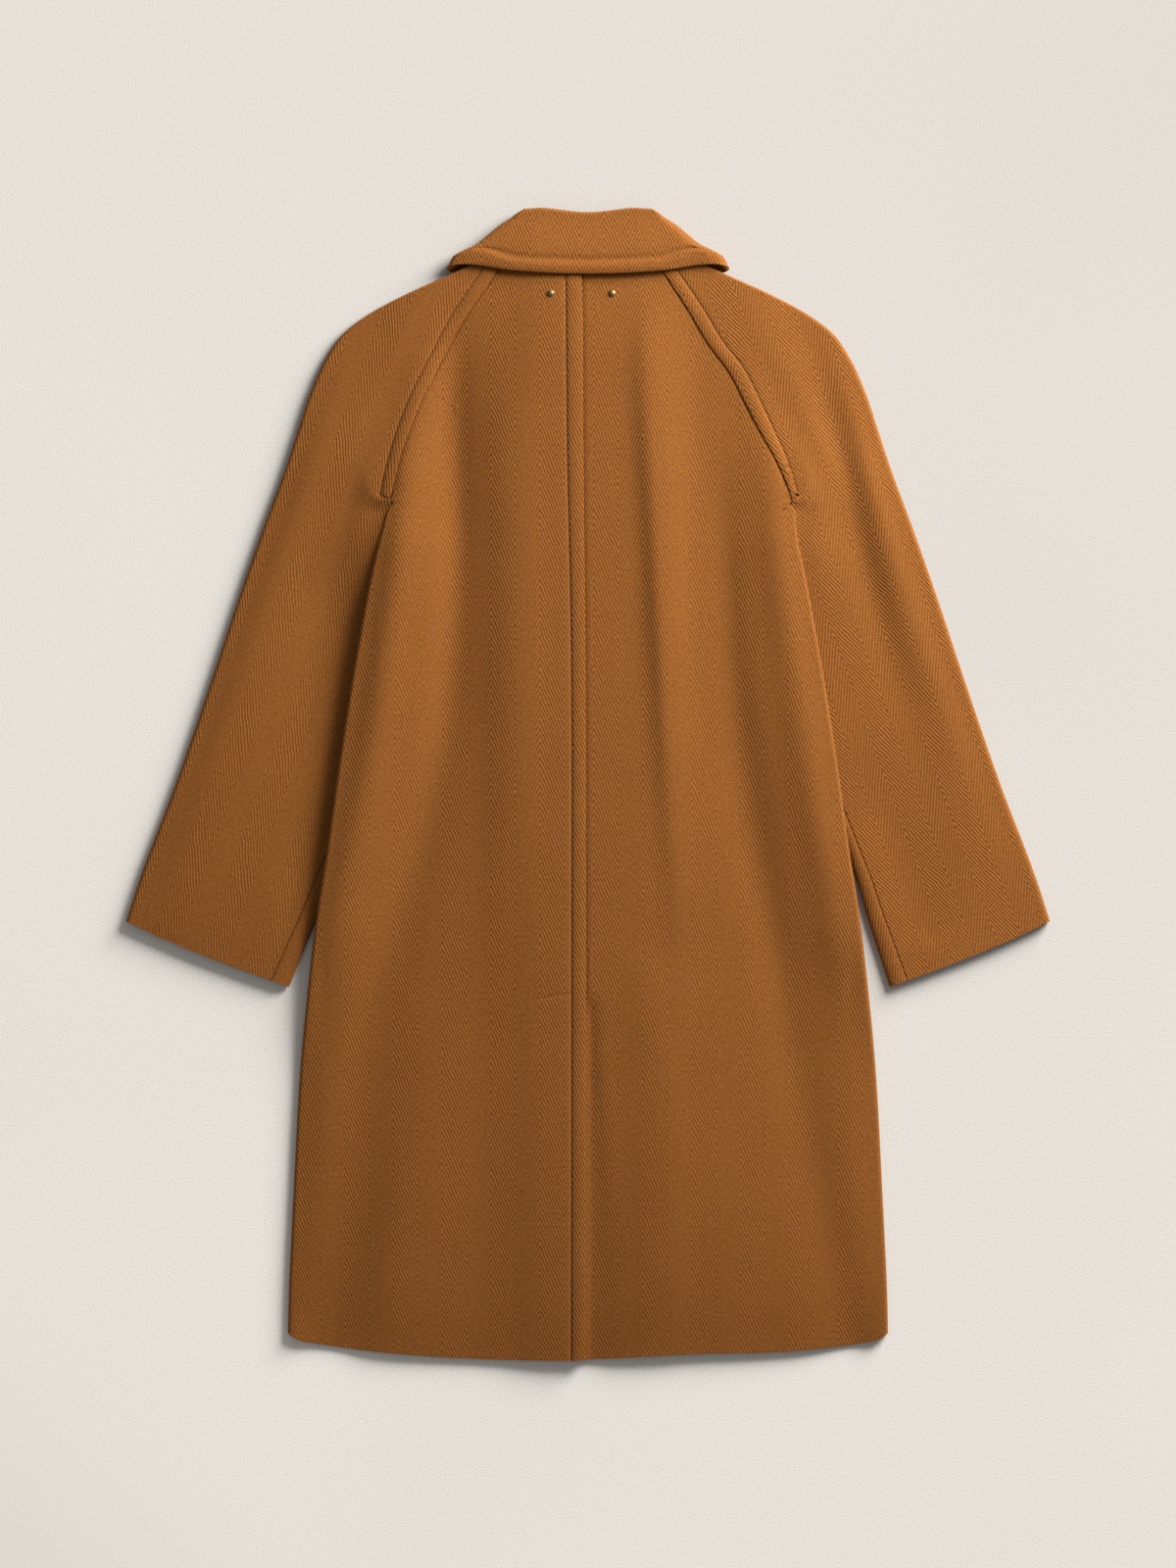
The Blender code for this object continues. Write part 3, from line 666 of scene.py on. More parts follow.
def back_sheet(side):
    """Outer face of a back panel, and each point's place on the flat cloth."""
    sign = SIDES[side]
    y = body_rows()
    first = back_columns(side, y)
    plain = 52
    upper, lower = np.maximum(y, SWAP_TOP), np.minimum(y, SWAP_END)
    raglan = curve(RAGLAN_BACK[side], upper)
    fade = soft((upper - 268) / 22) * soft((498 - upper) / 30)
    end = raglan + RAGLAN_ALLOWANCE * fade - SEAM_GAP
    tail = len(TURNS) + UNDER
    open_across = np.concatenate(
        [first, spread(first[:, -1], end - 6, plain), spread(end - 6, end, tail)], axis=1)
    open_z = back_top(sign * open_across, upper[:, None])
    open_z += back_detail(side, open_across, y[:, None])
    open_z += (LAP_DIP - SEAM_GAP) * soft((open_across - raglan[:, None] + 2) / 5)

    edge = body_edge(sign, lower)
    height = roll_height(lower)
    flat_end = edge - height / 2
    top_across = np.concatenate([first, spread(first[:, -1], flat_end, plain)], axis=1)
    top_z = back_top(sign * top_across, lower[:, None]) + back_detail(side, top_across, y[:, None])
    high = top_z[:, -1]
    turn_across, turn_z = roll(edge, 1, high - height, high, TURNS)
    under_across = spread(flat_end, edge - straight(SIDE_SEAM, lower), UNDER)
    under_z = front_low(sign * under_across, lower[:, None])
    step = np.linspace(0, 1, UNDER) ** 0.5
    under_z = lerp(turn_z[:, -1:], under_z, step)
    roll_across = np.concatenate([top_across, turn_across, under_across], axis=1)
    roll_z = np.concatenate([top_z, turn_z, under_z], axis=1)

    share = np.clip((SWAP_TOP - y) / (SWAP_TOP - SWAP_END), 0, 1)[:, None]
    across, z = lerp(open_across, roll_across, share), lerp(open_z, roll_z, share)
    points = np.stack([sign * across, body_y(across, y[:, None]), z], axis=-1)
    points[..., 1] += hem_detail(side, across, y[:, None])
    run = length_along(points, 1)
    u = points[:, :1, 0] + sign * run + GRAIN_SHIFT["back_" + side]
    if side == "left":
        u = u + REPEAT / MM / 2 * soft((-curve(CENTRE_STRIP, y, 2)[:, None] - across) / 1.2)
    grain = np.stack([u, np.broadcast_to(y[:, None], u.shape)], axis=-1)
    return points, grain


# %% Make the back
for side in SIDES:
    points, grain = back_sheet(side)
    piece = cloth("cloth_back_" + side, points, grain, 1, CLOTH, COAT_WOOL)
    finish_sheet(piece, "back_" + side, points)

# %% [markdown]
# ## The raglan sleeves
#
# A raglan sleeve runs up to the neck, so one slanting seam joins it to the body. Here the sleeve
# laps over the back with a turned and topstitched edge like the centre back's. Further down the
# sleeve lies under the body's rolled side. Its back and front meet in the overarm seam at the
# outer edge, and in the underarm seam that shows near the cuff.

# %% Profile of a sleeve
# (y at the back's seam or fold, at the front's, at the outer edge) of the sleeve's rows
SLEEVE_ROWS = (
    (492, 470, 488.7), (464, 452, 466), (430, 430, 443), (396, 396, 414), (358, 358, 388),
    (326, 326, 362), (302, 302, 340), (288, 288, 327), (275, 275, 316), (260, 260, 303),
    (246, 246, 292), (222, 222, 274), (189, 189, 245), (130, 130, 189), (60, 60, 122),
    (-20, -20, 44), (-95, -95, -31), (-127, -127, -65), (CUFF_INNER_Y, CUFF_INNER_Y, CUFF_OUTER_Y),
)
SLEEVE_LEAN = math.radians(20)
SLEEVE_MIDDLE = 280.0
OVERARM = 84.0                                  # where the overarm seam is, in degrees
SEAM_FADE = {"left": 50, "right": 100}          # how slowly the sleeve leaves the body's height
SEAM_FADE_START = {"left": 140, "right": 130}   # the y where it has left it
STRIP_END_DEPTH = {"left": 0.8, "right": 0.35}  # of the stitches across the strip's end


def tuck(y):
    """How far the sleeve's edge goes under the body's rolled edge."""
    return 7.0 * soft((SWAP_TOP - y) / 10)


def sleeve_rows(side):
    """Dense sleeve rows, closer where the raglan stitching ends and at the cuff."""
    table = np.array(SLEEVE_ROWS, float)
    last = len(table) - 1
    place = np.concatenate([np.linspace(0, last, 165), last - np.array([0.05, 0.022])])
    end = np.interp(-RAGLAN_STITCH_END[side], -table[:, 0], np.arange(last + 1))
    place = np.concatenate([place, end + np.arange(-5, 6) * 0.055])
    place = np.unique(place)
    place = place[np.concatenate([[True], np.diff(place) > 0.018])]
    return [np.interp(place, np.arange(last + 1), table[:, column]) for column in range(3)]


def grain_of_sleeve(side, x, y):
    """(across, along) on the sleeve's own grain, which leans with the sleeve."""
    sign = SIDES[side]
    across = x * math.cos(SLEEVE_LEAN) + sign * y * math.sin(SLEEVE_LEAN)
    along = y * math.cos(SLEEVE_LEAN) - sign * x * math.sin(SLEEVE_LEAN)
    return across, along


def sleeve_top(side, x, y):
    """Top face of a sleeve."""
    seam = np.where(y >= CREASE_Y, curve(RAGLAN_BACK[side], y), body_edge(x, y))
    from_seam = (np.abs(x) - seam) * 0.87
    across, along = grain_of_sleeve(side, x, y)
    relief = fold_relief(SLEEVE_FOLDS[side], np.abs(across) - SLEEVE_MIDDLE, along)
    by_outer = soft((curve(SLEEVE_OUTER, y) - np.abs(x)) / 30)
    leaf = (COLLAR_CLOTH + LAYER_GAP) * soft((y - 235) / 115) * soft((200 - np.abs(x)) / 75)
    own = TUBE_HEIGHT + leaf + relief * by_outer
    lapped = back_top(x, y) + RAGLAN_RISE
    length = 12 + SEAM_FADE[side] * soft((from_seam - 8) / 34)
    start = SEAM_FADE_START[side]
    step = 0.25 * soft((y - SWAP_END) / length) + 0.75 * soft((y - start) / (length + 240 - start))
    at_seam = soft((58 - from_seam) / 42) * step
    beyond = soft((y - 150) / 180) * soft((from_seam - 14) / 30) * soft((96 - from_seam) / 60)
    raised = own + 4.2 * np.tanh((lapped - own) / 4.2) * beyond
    return lerp(raised, lapped, at_seam)


def raglan_detail(side, distance, y_in):
    """What the lapped raglan seam adds to a sleeve's top face."""
    stitch = curve(RAGLAN_STITCH[side], y_in) + tuck(y_in)
    end = RAGLAN_STITCH_END[side]
    on = soft((y_in - end + 1.5) / 3)
    beyond = np.maximum(distance - stitch, 0) + np.maximum(0.8 - distance, 0)
    closing = np.hypot(y_in - end, beyond)
    strip = plump(distance, stitch) * soft((distance + 1) / 2)
    across_end = groove(closing, STRIP_END_DEPTH[side], 0.9)
    return on * (strip + groove(distance - stitch)) + across_end


def cuff_bulge(place):
    """How far the cuff's edge bows out between its corners, in millimetres."""
    return 11.0 * place * (1 - place) * (0.6 + 0.8 * place)


print("sleeve rows:", len(sleeve_rows("left")[0]))


# %% Sleeve backs and fronts
def row_width(start, end):
    """Length in plan of each row."""
    return np.hypot(end[0] - start[0], end[1] - start[1])


def plan(start, end, distance):
    """x and y at distances along rows in plan."""
    share = distance / row_width(start, end)[:, None]
    x = lerp(start[0][:, None], end[0][:, None], share)
    return x, lerp(start[1][:, None], end[1][:, None], share)


def on_rows(side, start, end, distance, z, y_in):
    """Points at distances along rows that run in plan from start to end, bowed at the cuff."""
    x, y = plan(start, end, distance)
    place = np.clip(distance / row_width(start, end)[:, None], 0, 1)
    y = y - cuff_bulge(place) * soft((CUFF_INNER_Y + 60 - y_in[:, None]) / 60) ** 2
    return np.stack([SIDES[side] * x, y, z], axis=-1)


def sleeve_back_sheet(side):
    """Outer face of a sleeve's back, from its raglan or underarm seam to the overarm seam."""
    sign = SIDES[side]
    y_in, _, y_out = sleeve_rows(side)
    inner = lerp(straight(SLEEVE_INNER[side], y_in), curve(RAGLAN_BACK[side], y_in),
                 soft((y_in - CREASE_Y + 16) / 16))
    inner = inner - tuck(y_in) * soft((y_in - 200) / 30)
    start, end = (inner, y_in), (curve(SLEEVE_OUTER, y_out), y_out)
    width = row_width(start, end)
    first = np.where(y_in <= UNDERARM_Y, straight(UNDERARM_SEAM, y_in), 0.0)
    low = floor_lift(end[0], end[1])
    high = sleeve_top(side, sign * end[0], end[1])
    last = width - (high - low) / 2
    stitch = curve(RAGLAN_STITCH[side], y_in) + tuck(y_in)
    by_edge = np.broadcast_to([0, 1.2, 2.4, 4.0, 6.0], (len(y_in), 5))
    by_stitch = stitch[:, None] + np.array([-3.2, -2.0, -1.2, -0.6, 0, 0.6, 1.2, 2.0, 3.2, 5.2, 8])
    near = np.concatenate([by_edge, by_stitch], axis=1)
    near = near + first[:, None] * (1 - near / 60)
    distance = np.concatenate([near, spread(near[:, -1], last, 34)], axis=1)
    x, y = plan(start, end, distance)
    z = sleeve_top(side, sign * x, y) + raglan_detail(side, distance, y_in[:, None])
    turns = [12, 24, 36, 48, 60, 72, OVERARM]
    turn_distance, turn_z = roll(width, 1, low, z[:, -1], turns)
    distance = np.concatenate([distance, turn_distance], axis=1)
    z = np.concatenate([z, turn_z], axis=1)
    return on_rows(side, start, end, distance, z, y_in)


def sleeve_front_sheet(side):
    """Outer face of a sleeve's front, from the overarm seam along the underside."""
    sign = SIDES[side]
    _, y_in, y_out = sleeve_rows(side)
    radius = TUBE_HEIGHT / 2
    inner = np.where(y_in >= UNDERARM_Y, curve(RAGLAN_FRONT, y_in),
                     straight(SLEEVE_INNER[side], y_in))
    start, end = (inner, y_in), (curve(SLEEVE_OUTER, y_out), y_out)
    width = row_width(start, end)
    low = floor_lift(end[0], end[1])
    high = sleeve_top(side, sign * end[0], end[1])
    turn_distance, turn_z = roll(width, 1, low, high, [180 - OVERARM, 110, 125, 140, 155, 168, 180])
    flat = spread(turn_distance[:, -1], np.full(len(y_in), radius), 20)
    x, y = plan(start, end, flat)
    flat_z = floor_lift(sign * x, y)
    seam = np.where(y_in <= UNDERARM_Y, straight(UNDERARM_SEAM, y_in), 5.0) - 2 * SEAM_GAP
    reach = np.clip(seam - 3.0, 3.4, 12.0)
    under = np.radians([165, 145, 125, 105])
    top = np.radians([90, 76, 62, 48, 34, 20, 8])
    under_distance = radius * (1 - np.sin(under)) * np.ones((len(y_in), 1))
    fold_distance = np.concatenate([under_distance, reach[:, None] * (1 - np.sin(top))], axis=1)
    over = spread(fold_distance[:, -1], seam, 4)
    rolled = np.concatenate([fold_distance, over], axis=1)
    x, y = plan(start, end, rolled)
    crown = sleeve_top(side, sign * x, y) - 0.8 * soft((y - 100) / 60)
    turn = np.concatenate([under, top, np.zeros(4)])
    rolled_z = crown / 2 * (1 + np.cos(turn))
    rolled_z = rolled_z - 0.5 * np.exp(-((rolled - seam[:, None]) / 1.6) ** 2) * (turn == 0)
    open_distance = spread(np.full(len(y_in), radius), 0 * y_in, rolled.shape[1])
    x, y = plan(start, end, open_distance)
    open_z = floor_lift(sign * x, y)
    share = np.clip((222.0 - y_in) / 33, 0, 1)[:, None]
    distance = np.concatenate([turn_distance, flat, lerp(open_distance, rolled, share)], axis=1)
    z = np.concatenate([turn_z, flat_z, lerp(open_z, rolled_z, share)], axis=1)
    return on_rows(side, start, end, distance, z, y_in)


def sleeve_grain(side, points):
    """Place on the flat cloth of a sleeve's points, with the weave's columns down the sleeve."""
    across, along = grain_of_sleeve(side, points[..., 0], points[..., 1])
    return np.stack([across, along], axis=-1)


for side in SIDES:
    points = sleeve_back_sheet(side)
    grain = sleeve_grain(side, points)
    piece = cloth("cloth_sleeve_back_" + side, points, grain, 1, CLOTH, COAT_WOOL)
    finish_sheet(piece, "sleeve_back_" + side, points)
    points = sleeve_front_sheet(side)
    grain = sleeve_grain(side, points)
    piece = cloth("cloth_sleeve_front_" + side, points, grain, -1, CLOTH, COAT_WOOL)
    finish_sheet(piece, "sleeve_front_" + side, points)

# %% [markdown]
# ## The two fronts, on the underside
#
# The fronts lie on the surface, under the back. The right one laps over the left one, and the
# buttons lie on it. Nothing of them shows from above, but the coat can be picked up and turned
# over, so they get the same cloth, with a stitched front edge like the other seams.

# %% Make the fronts
FRONT_ROWS = ((411, 470), (390, 430), (371, 396), (345, 358), (324, 326), (302, 302), (260, 260),
              (222, 222), (189, 189), (165, 165), (135, 135), (80, 80), (10, 10), (-60, -60),
              (-110, -110), (-150, -150), (-190, -190), (-300, -300), (-400, -400), (-480, -480),
              (-530.6, -530.6))


def front_sheet(side):
    """Outer face of a front panel, from its front edge to its raglan or side seam."""
    sign = SIDES[side]
    table = np.array(FRONT_ROWS, float)
    places = np.linspace(0, len(table) - 1, 150)
    y_centre, y_side = (np.interp(places, np.arange(len(table)), table[:, k]) for k in (0, 1))
    low = np.minimum(y_side, UNDERARM_Y)
    above = straight(RAGLAN_FRONT, y_side) - SEAM_GAP
    below = curve(BODY_EDGE, low) - straight(SIDE_SEAM, low) - 2 * SEAM_GAP
    end = np.where(y_side >= UNDERARM_Y, above, below)
    shares = np.linspace(0, 1, 56)
    stitched = np.array([-FRONT_LAP, -38.8, -37, -34, -30, -28.2, -27.2, -26.6, -26, -25.4,
                         -24.8, -23.8])
    first = np.broadcast_to(stitched, (len(y_side), len(stitched)))
    across = np.concatenate([first, spread(first[:, -1], end, len(shares))], axis=1)
    y = y_centre[:, None] + (y_side - y_centre)[:, None] * (
        np.maximum(across, 0) / end[:, None]) ** 1.6
    z = front_low(sign * across, y)
    if side == "left":
        raised = (CLOTH + LAYER_GAP + 2 * SEAM_GAP) * (1 - 0.6 * soft((-440 - y) / 60))
        z = z + raised * soft((61 - across) / 16)
    else:
        z = z - groove(across + 26, 0.7)
    lift = 14.0 * soft((-495 - y) / 35)
    points = np.stack([sign * across, body_y(across, y) + lift, z], axis=-1)
    u = sign * length_along(points, 1)
    return points, np.stack([u, points[..., 1]], axis=-1)


for side in SIDES:
    points, grain = front_sheet(side)
    piece = cloth("cloth_front_" + side, points, grain, -1, CLOTH, COAT_WOOL)
    finish_sheet(piece, "front_" + side, points)

# %% [markdown]
# ## The collar
#
# The collar stands up inside, turns over at a soft roll, and its fall lies on the back. At both
# sides it goes round the neck to the front leaves underneath. Its edge is stitched from inside and
# pressed, which leaves a plump rim with a shallow trough behind it. The rows run from the roll
# line to the edge, and follow the collar all the way round.

# %% Collar shape
FOLD_TOP = np.array([65.0, 527.6])
FOLD_END = np.array([130.3, 471.5])
COLLAR_POINT = np.array([63.0, 360.0])
ROLL_FRONT = np.array([3.0, 445.0])
COLLAR_LOW = 3.0
STAND_TOP = 10.6
RIM_BAND = 12.5        # from the collar's edge to the trough behind its rim


def collar_roll_y(x):
    """The fold along the top of the collar, a little lower at the centre back."""
    beyond = np.clip((np.abs(x) - 52) / 13, 0, 1.25)
    return 524.6 + 5.4 * soft(np.abs(x) / 54) - 3.6 * beyond ** 2


def collar_edge_y(x):
    """The lower edge of the collar's back."""
    return 467.8 + 9.0 * (x / 118) ** 2


def collar_over(x, share):
    """Outer height of the collar's back, from its roll line (share 0) to its edge (share 1)."""
    edge = lerp(17.0, 18.6, soft((100 - np.abs(x)) / 60))
    return lerp(STAND_TOP + 2 * SEAM_GAP + COLLAR_CLOTH, edge, soft(share * 1.25))


def neck_front(x):
    """The front neck seam, from the centre front up to the shoulder."""
    rise = NECK_FRONT_Y + (470 - NECK_FRONT_Y) * (np.minimum(x, 80) / 80) ** 1.6
    return np.where(x <= 80, rise, lerp(470, NECK_SIDE[1], (x - 80) / (NECK_SIDE[0] - 80)))


def fold_around(top, end, share, low, high, steps):
    """Points around a fold that runs in plan from top to end, from its upper to its lower side."""
    run = end - top
    normal = lerp(np.array([1.0, 0.0]), np.array([-run[1], run[0]]) / np.hypot(*run),
                  soft(share / 0.35))
    normal = normal / np.hypot(*normal)
    middle = top + run * share
    angle = np.linspace(0, math.pi, steps)
    radius = (high - low) / 2
    plan_points = middle - normal * (radius * (1 - np.sin(angle)))[:, None]
    return np.column_stack([plan_points, (low + high) / 2 + radius * np.cos(angle)])


def rim_relief(from_edge):
    """The plump rim along the collar's edge, and the trough behind it."""
    rim = 1.3 * np.sin(math.pi * np.clip(from_edge / RIM_BAND, 0, 1)) ** 0.7
    return rim - 1.0 * np.exp(-((from_edge - RIM_BAND) / 3.4) ** 2)


def fall_half_row(share):
    """Half a row of the fall's outer face, from the centre back round to the centre front."""
    middle = lerp(FOLD_TOP, FOLD_END, share)
    bow = 6.2 * soft((share - 0.5) / 0.42) * (1 - 0.9 * soft((share - 0.91) / 0.09))
    middle = middle + np.array([0.0, bow])
    height = collar_over(131.0, share)
    angle = np.linspace(0, math.pi, 16)
    width = height / 2 * lerp(1.0, 1.45, soft(share / 0.3) * soft((1.2 - share) / 0.4))
    x = middle[0] - width * (1 - np.sin(angle))
    round_top = (collar_roll_y(x) - FOLD_TOP[1]) * (1 - soft(share / 0.3))
    end_slant = lerp(4.5, -2.5, angle / math.pi) * soft((share - 0.5) / 0.5)
    side = np.column_stack([x, middle[1] + round_top + end_slant, height / 2 * (1 + np.cos(angle))])
    step = np.linspace(0, 1, 34)[:-1]
    x = step * side[0, 0]
    y = lerp(collar_roll_y(x), collar_edge_y(x), share)
    y = lerp(y, side[0, 1], soft((step - 0.6) / 0.4))
    depth = (collar_roll_y(x) - collar_edge_y(x)) * (1 - share)
    z = collar_over(x, share) + rim_relief(depth) * soft((130 - x) / 20)
    back = np.column_stack([x, y, z])
    end = lerp(ROLL_FRONT, COLLAR_POINT, share)
    leaf = side[-1, :2] + (end - side[-1, :2]) * np.linspace(0, 1, 25)[1:, None]
    return np.vstack([back, side, np.column_stack([leaf, np.zeros(24)])])


def stand_half_row(share):
    """Half a row of the stand's outer face, from its roll line (share 0) to its neck seam."""
    roll_side = FOLD_TOP - np.array([5, 4])
    neck_side = np.array([NECK_SIDE[0], NECK_SIDE[1] + 4])
    side = fold_around(roll_side, neck_side, share, COLLAR_LOW + LAYER_GAP, STAND_TOP, 9)
    step = np.linspace(0, 1, 20)
    x = step[:-1] * side[0, 0]
    y = lerp(collar_roll_y(x) - 6, neck_back(x) + NECK_GAP, share)
    back = np.column_stack([x, y, np.full(len(x), STAND_TOP)])
    x = lerp(side[-1, 0], ROLL_FRONT[0], step[1:])
    y = lerp(lerp(roll_side[1], ROLL_FRONT[1], step[1:]), neck_front(x) + NECK_GAP, share)
    leaf = np.column_stack([x, y, np.full(len(x), COLLAR_LOW + LAYER_GAP)])
    return np.vstack([back, side, leaf])


def whole_row(half):
    """A collar row from its right half, with the left half mirrored from it."""
    return np.vstack([half[::-1] * [-1, 1, 1], half[1:]])


def rolled_over(rows, radius, degrees):
    """Rows that carry a sheet's first row over a roll, round to its other side. The way out is
    averaged over 13 points, so that the roll turns the collar's corners smoothly."""
    out = rows[0] - rows[1]
    out /= np.linalg.norm(out, axis=1)[:, None]
    weights = np.hanning(15)[1:-1] / 7
    padded = np.pad(out, ((6, 6), (0, 0)), mode="edge")
    out = sum(weight * padded[k:k + len(out)] for k, weight in enumerate(weights))
    side = np.gradient(rows[0], axis=0)
    normal = np.cross(out, side)
    normal /= np.linalg.norm(normal, axis=1)[:, None]
    normal *= np.sign(normal[len(normal) // 2, 2])
    angle = np.radians(degrees)[:, None, None]
    return rows[0] + radius * (out * np.sin(angle) - normal * (1 - np.cos(angle)))


# %% Make the collar
ROLL_SHARE = 0.05      # where the fall starts to turn over, as a share of its depth
ROLL_RADIUS = 3.3
fall_shares = np.concatenate([np.linspace(ROLL_SHARE, 0.97, 34), [0.985, 1]])
fall = np.array([whole_row(fall_half_row(share)) for share in fall_shares])
over = rolled_over(fall, ROLL_RADIUS, [168, 150, 130, 110, 90, 72, 54, 36, 18])
fall = np.concatenate([over, fall])
fall_grain = np.stack([fall[..., 0] + GRAIN_SHIFT["collar_fall"], fall[..., 1]], axis=-1)
piece = cloth("cloth_collar_fall", fall, fall_grain, 1, COLLAR_CLOTH, COAT_WOOL, rim=0.7)
finish_sheet(piece, "collar_fall", fall)
stand = np.array([whole_row(stand_half_row(share)) for share in np.linspace(0, 1, 9)])
piece = cloth("cloth_collar_stand", stand, stand[..., :2], 1, COLLAR_CLOTH, COAT_WOOL)
finish_sheet(piece, "collar_stand", stand)

# %% [markdown]
# ## Topstitching
#
# The thread is a little darker than the wool and sinks into its groove, so from a step away only a
# fine line is left. Each stitch is one small stretched bead of a few faces, and all stitches of a
# seam are one mesh, because hundreds of separate objects would only slow the file down.


# %% Stitches
def thread_finish():
    """Dull twisted thread."""
    thread = Finish("stitch_thread")
    tone = grains(thread, thread.place(), 1500.0)
    colour = blend(thread, tone, (0.10, 0.034, 0.008), (0.24, 0.09, 0.022))
    thread.surface(Base_Color=colour, Roughness=0.7)
    return thread.material


THREAD = thread_finish()
THREAD_RISE = 0.15     # of the stitches' middle above the groove


def stitches(name, path, length=3.6, pitch=4.6, thick=0.55):
    """Stitches along a path of (x, y, z) points, joined in one mesh."""
    run = np.concatenate([[0], np.cumsum(np.linalg.norm(np.diff(path, axis=0), axis=1))])
    bm = bmesh.new()
    starts = np.arange(0.8, run[-1] - length, pitch)
    for start in starts:
        ends = [np.array([np.interp(at, run, path[:, k]) for k in range(3)])
                for at in (start, start + length)]
        along = Vector(ends[1] - ends[0]).normalized()
        turn = along.to_track_quat("X", "Z").to_matrix().to_4x4()
        shape = Matrix.Diagonal((length / 2, thick / 2, thick / 2, 1))
        place = Matrix.Translation(Vector((ends[0] + ends[1]) / 2))
        bmesh.ops.create_icosphere(bm, subdivisions=1, radius=1, matrix=place @ turn @ shape)
    bmesh.ops.scale(bm, verts=bm.verts, vec=(MM, MM, MM))
    piece = from_bmesh(name, bm, THREAD)
    piece.data.shade_smooth()
    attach(piece, "root")
    print(name, len(starts), "stitches")


def centre_path():
    """The stitch line down the left back."""
    y = np.arange(466.0, -529.0, -3.0)
    x = curve(CENTRE_STRIP, y, 2)
    z = back_top(x, y) + back_detail("left", -x, y) + THREAD_RISE
    return np.stack([x, body_y(np.abs(x), y), z], axis=-1)


def raglan_path(side):
    """The stitch line down a raglan seam, closed across the strip at its lower end."""
    y_in, _, y_out = sleeve_rows(side)
    keep = (y_in < 470) & (y_in > RAGLAN_STITCH_END[side])
    y_in, y_out = y_in[keep], y_out[keep]
    start = (curve(RAGLAN_BACK[side], y_in), y_in)
    end = (curve(SLEEVE_OUTER, y_out), y_out)
    distance = curve(RAGLAN_STITCH[side], y_in)[:, None]
    x, y = plan(start, end, distance)
    z = sleeve_top(side, SIDES[side] * x, y) + raglan_detail(side, distance, y_in[:, None])
    return on_rows(side, start, end, distance, z + THREAD_RISE, y_in)[:, 0]


stitches("stitches_centre", centre_path())
for side in SIDES:
    stitches("stitches_raglan_" + side, raglan_path(side))

# %% [markdown]
# ## Buttons and studs
#
# The buttons are plain horn with a rim, a dished middle and four holes, under the front. Two small
# domed brass studs sit on the back below the collar. Both are turned shapes, so a short outline is
# spun round, and each of a button's holes is a small turned well that the thread fills.


# %% Turned pieces
def turned(name, outline, centre, finish, node, slot, steps=40):
    """A round piece from an outline of (radius, z), spun round and placed at centre."""
    bm = bmesh.new()
    verts = [bm.verts.new((radius, 0, z)) for radius, z in outline]
    edges = [bm.edges.new(pair) for pair in zip(verts, verts[1:])]
    bmesh.ops.spin(bm, geom=verts + edges, cent=(0, 0, 0), axis=(0, 0, 1), angle=2 * math.pi,
                   steps=steps, use_merge=True)
    bmesh.ops.remove_doubles(bm, verts=bm.verts, dist=0.001)
    bmesh.ops.recalc_face_normals(bm, faces=bm.faces)
    bmesh.ops.translate(bm, verts=bm.verts, vec=centre)
    bmesh.ops.scale(bm, verts=bm.verts, vec=(MM, MM, MM))
    piece = from_bmesh(name, bm, finish)
    piece.data.shade_smooth()
    piece.data.set_sharp_from_angle(angle=math.radians(50))
    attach(piece, "root")
    if node:
        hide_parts(node)


def horn_finish():
    """Dark horn with soft streaks."""
    horn = Finish("button_horn_face")
    sockets = {"Vector": horn.place(), "Scale": (60, 400, 60)}
    tone = grains(horn, horn.add("ShaderNodeMapping", {}, sockets), 1.0, 3.0)
    colour = blend(horn, tone, (0.028, 0.014, 0.008), (0.11, 0.055, 0.027))
    horn.surface(Base_Color=colour, Roughness=0.32 + tone * 0.2)
    return horn.material


def brass_finish():
    """Aged brass, darker and lighter in random grains."""
    brass = Finish("stud_brass_face")
    tone = grains(brass, brass.place(), 900.0, 3.0)
    colour = blend(brass, tone, (0.07, 0.042, 0.018), (0.34, 0.24, 0.11))
    brass.surface(Base_Color=colour, Roughness=0.42 + tone * 0.25, Metallic=1.0)
    return brass.material


HORN = horn_finish()
BRASS = brass_finish()
HOLE_COUNT = 4
HOLE_DISTANCE = 1.9    # from the button's middle
HOLE_Z = 0.86
half = BUTTON_DIAMETER / 2
button_outline = [(0, BUTTON_THICK), (half - 2, BUTTON_THICK), (half - 0.7, BUTTON_THICK - 0.5),
                  (half, 1.9), (half - 0.3, 0.7), (half - 1.2, 0), (half - 2.6, 0.25),
                  (half - 4, 1.0), (0, 1.25)]
for index in range(BUTTON_COUNT):
    centre = (0, BUTTON_TOP_Y - index * BUTTON_PITCH, 0)
    name = f"button_{index + 1}"
    turned("horn_" + name, button_outline, centre, HORN, name, "button_horn")
    for corner in range(HOLE_COUNT):
        angle = math.pi / 4 + corner * math.pi / 2
        hole = (centre[0] + HOLE_DISTANCE * math.cos(angle),
                centre[1] + HOLE_DISTANCE * math.sin(angle), HOLE_Z)
        ring = [(0, 0.25), (0.75, 0.25), (1.15, 0), (1.15, 0.3), (0, 0.36)]
        turned(f"hole_{index + 1}_{corner + 1}", ring, hole, THREAD, None, "button_horn", 14)
STUD_GAP = 0.2         # between a stud and the cloth
for side, x in STUD_X.items():
    seat = float(back_top(x, STUD_Y) + back_detail(side, abs(x) if side == "left" else x, STUD_Y))
    radius = STUD_DIAMETER / 2
    dome = [(0, 0), (radius - 0.3, 0), (radius, 0.25), (radius, 0.5), (radius - 0.5, 0.75),
            (radius - 0.7, 0.8), (radius - 0.9, 1.15), (1.4, 1.62), (0.7, 1.76), (0, STUD_HEIGHT)]
    place = (x, STUD_Y, seat + STUD_GAP)
    turned("brass_stud_" + side, dome, place, BRASS, "stud_" + side, "stud_brass")
print("buttons:", BUTTON_COUNT, "studs:", len(STUD_X))

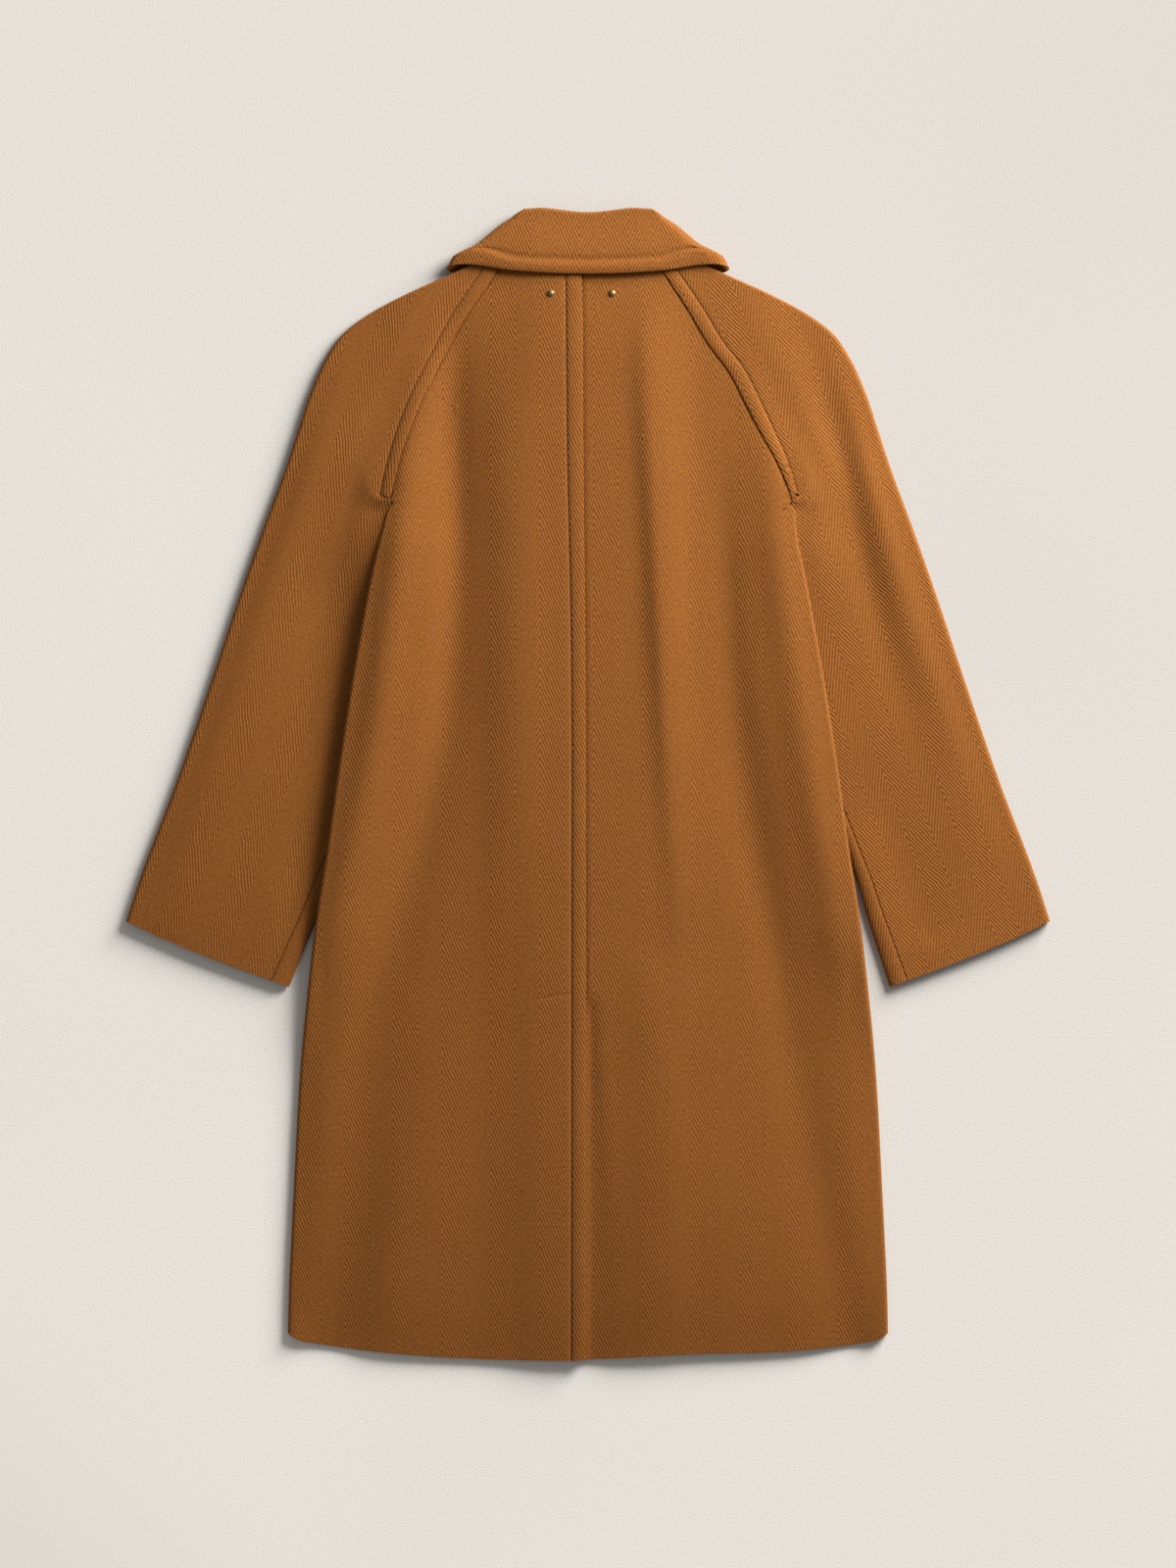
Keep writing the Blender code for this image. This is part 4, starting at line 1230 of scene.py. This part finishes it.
# %% [markdown]
# ## Surface, light and camera
#
# The coat lies on a pale, slightly grainy paper-like surface. One large soft lamp stands to the
# upper right and low enough to draw the folds, and a pale surround fills the shadows. The camera
# looks straight down through a long lens, so that one scale holds over the whole coat.


# %% Surface
LAMP = (1.6, 1.62, 1.02)
LAMP_SIZE = 1.3
LAMP_POWER = 175.0
LAMP_SPREAD = 0.19     # how much the lamp's own size evens out its light
FILL = 0.28            # light from the pale surround


def light_at(place):
    """Light that reaches the surface at a place: from the lamp, and from the surround."""
    reach = math.hypot(*LAMP)
    x, y = place.along(0), place.along(1)
    from_x, from_y = x - LAMP[0], y - LAMP[1]
    square = from_x * from_x + from_y * from_y + LAMP[2] ** 2 + LAMP_SPREAD * LAMP_SIZE ** 2
    facing = reach ** 2 - (x * LAMP[0] + y * LAMP[1])
    strength = LAMP_POWER / math.pi ** 2 * LAMP[2] / reach
    return facing * strength / (square * square) + FILL


def surface_finish():
    """Pale warm paper with a fine grain, graded darker towards the lamp by painted shade, so it
    looks even.
    """
    paper = Finish("pale_surface")
    place = paper.place()
    specks = grains(paper, place, 620.0, 2.0)
    clouds = grains(paper, place, 2.2, 1.0)
    # Painted shade: the paper's colour is divided by the light that reaches it, so it is darker
    # where the lamp shines most.
    tone = (0.805 + (specks - 0.5) * 0.28 + (clouds - 0.5) * 0.06) / light_at(place)
    paper.surface(Base_Color=blend(paper, tone, (0.0, 0.0, 0.0), (0.97, 0.93, 0.87)),
                  Roughness=0.95, Specular_IOR_Level=0.1, Normal=paper.bump(specks, 0.0004, 0.5))
    return paper.material


bm = bmesh.new()
bmesh.ops.create_grid(bm, x_segments=8, y_segments=8, size=3.0)
from_bmesh("surface", bm, surface_finish())


# %% Light
def soft_lamp(name, place, target, size, power, colour):
    """A square area lamp that faces a point."""
    light = bpy.data.lights.new(name, "AREA")
    light.size = size
    light.energy = power
    light.color = colour
    lamp = in_scene(name, light)
    lamp.location = place
    lamp.rotation_euler = (Vector(target) - Vector(place)).to_track_quat("-Z", "Y").to_euler()


soft_lamp("key", LAMP, (0.0, 0.0, 0), LAMP_SIZE, LAMP_POWER, (1.0, 0.985, 0.965))
world = bpy.data.worlds.new("surround")
world.use_nodes = True
background = world.node_tree.nodes["Background"].inputs
background["Color"].default_value = (1.0, 0.99, 0.975, 1)
background["Strength"].default_value = FILL
bpy.context.scene.world = world
bpy.context.scene.view_settings.view_transform = "Standard"

# %% Camera
LENS = 135.0
SENSOR = 36.0
VIEW_LENGTH = 1.44     # seen by the camera from top to bottom, in metres
TOP_FACE = 0.012       # height on the coat where that length is measured
CAMERA_Y = -0.00045
camera_data = bpy.data.cameras.new("camera")
camera_data.lens = LENS
camera_data.sensor_width = SENSOR
camera_data.clip_end = 50.0
camera = in_scene("camera", camera_data)
camera.location = (0, CAMERA_Y, VIEW_LENGTH * LENS / SENSOR + TOP_FACE)
bpy.context.scene.camera = camera
print("camera height:", round(camera.location.z, 2), "m")
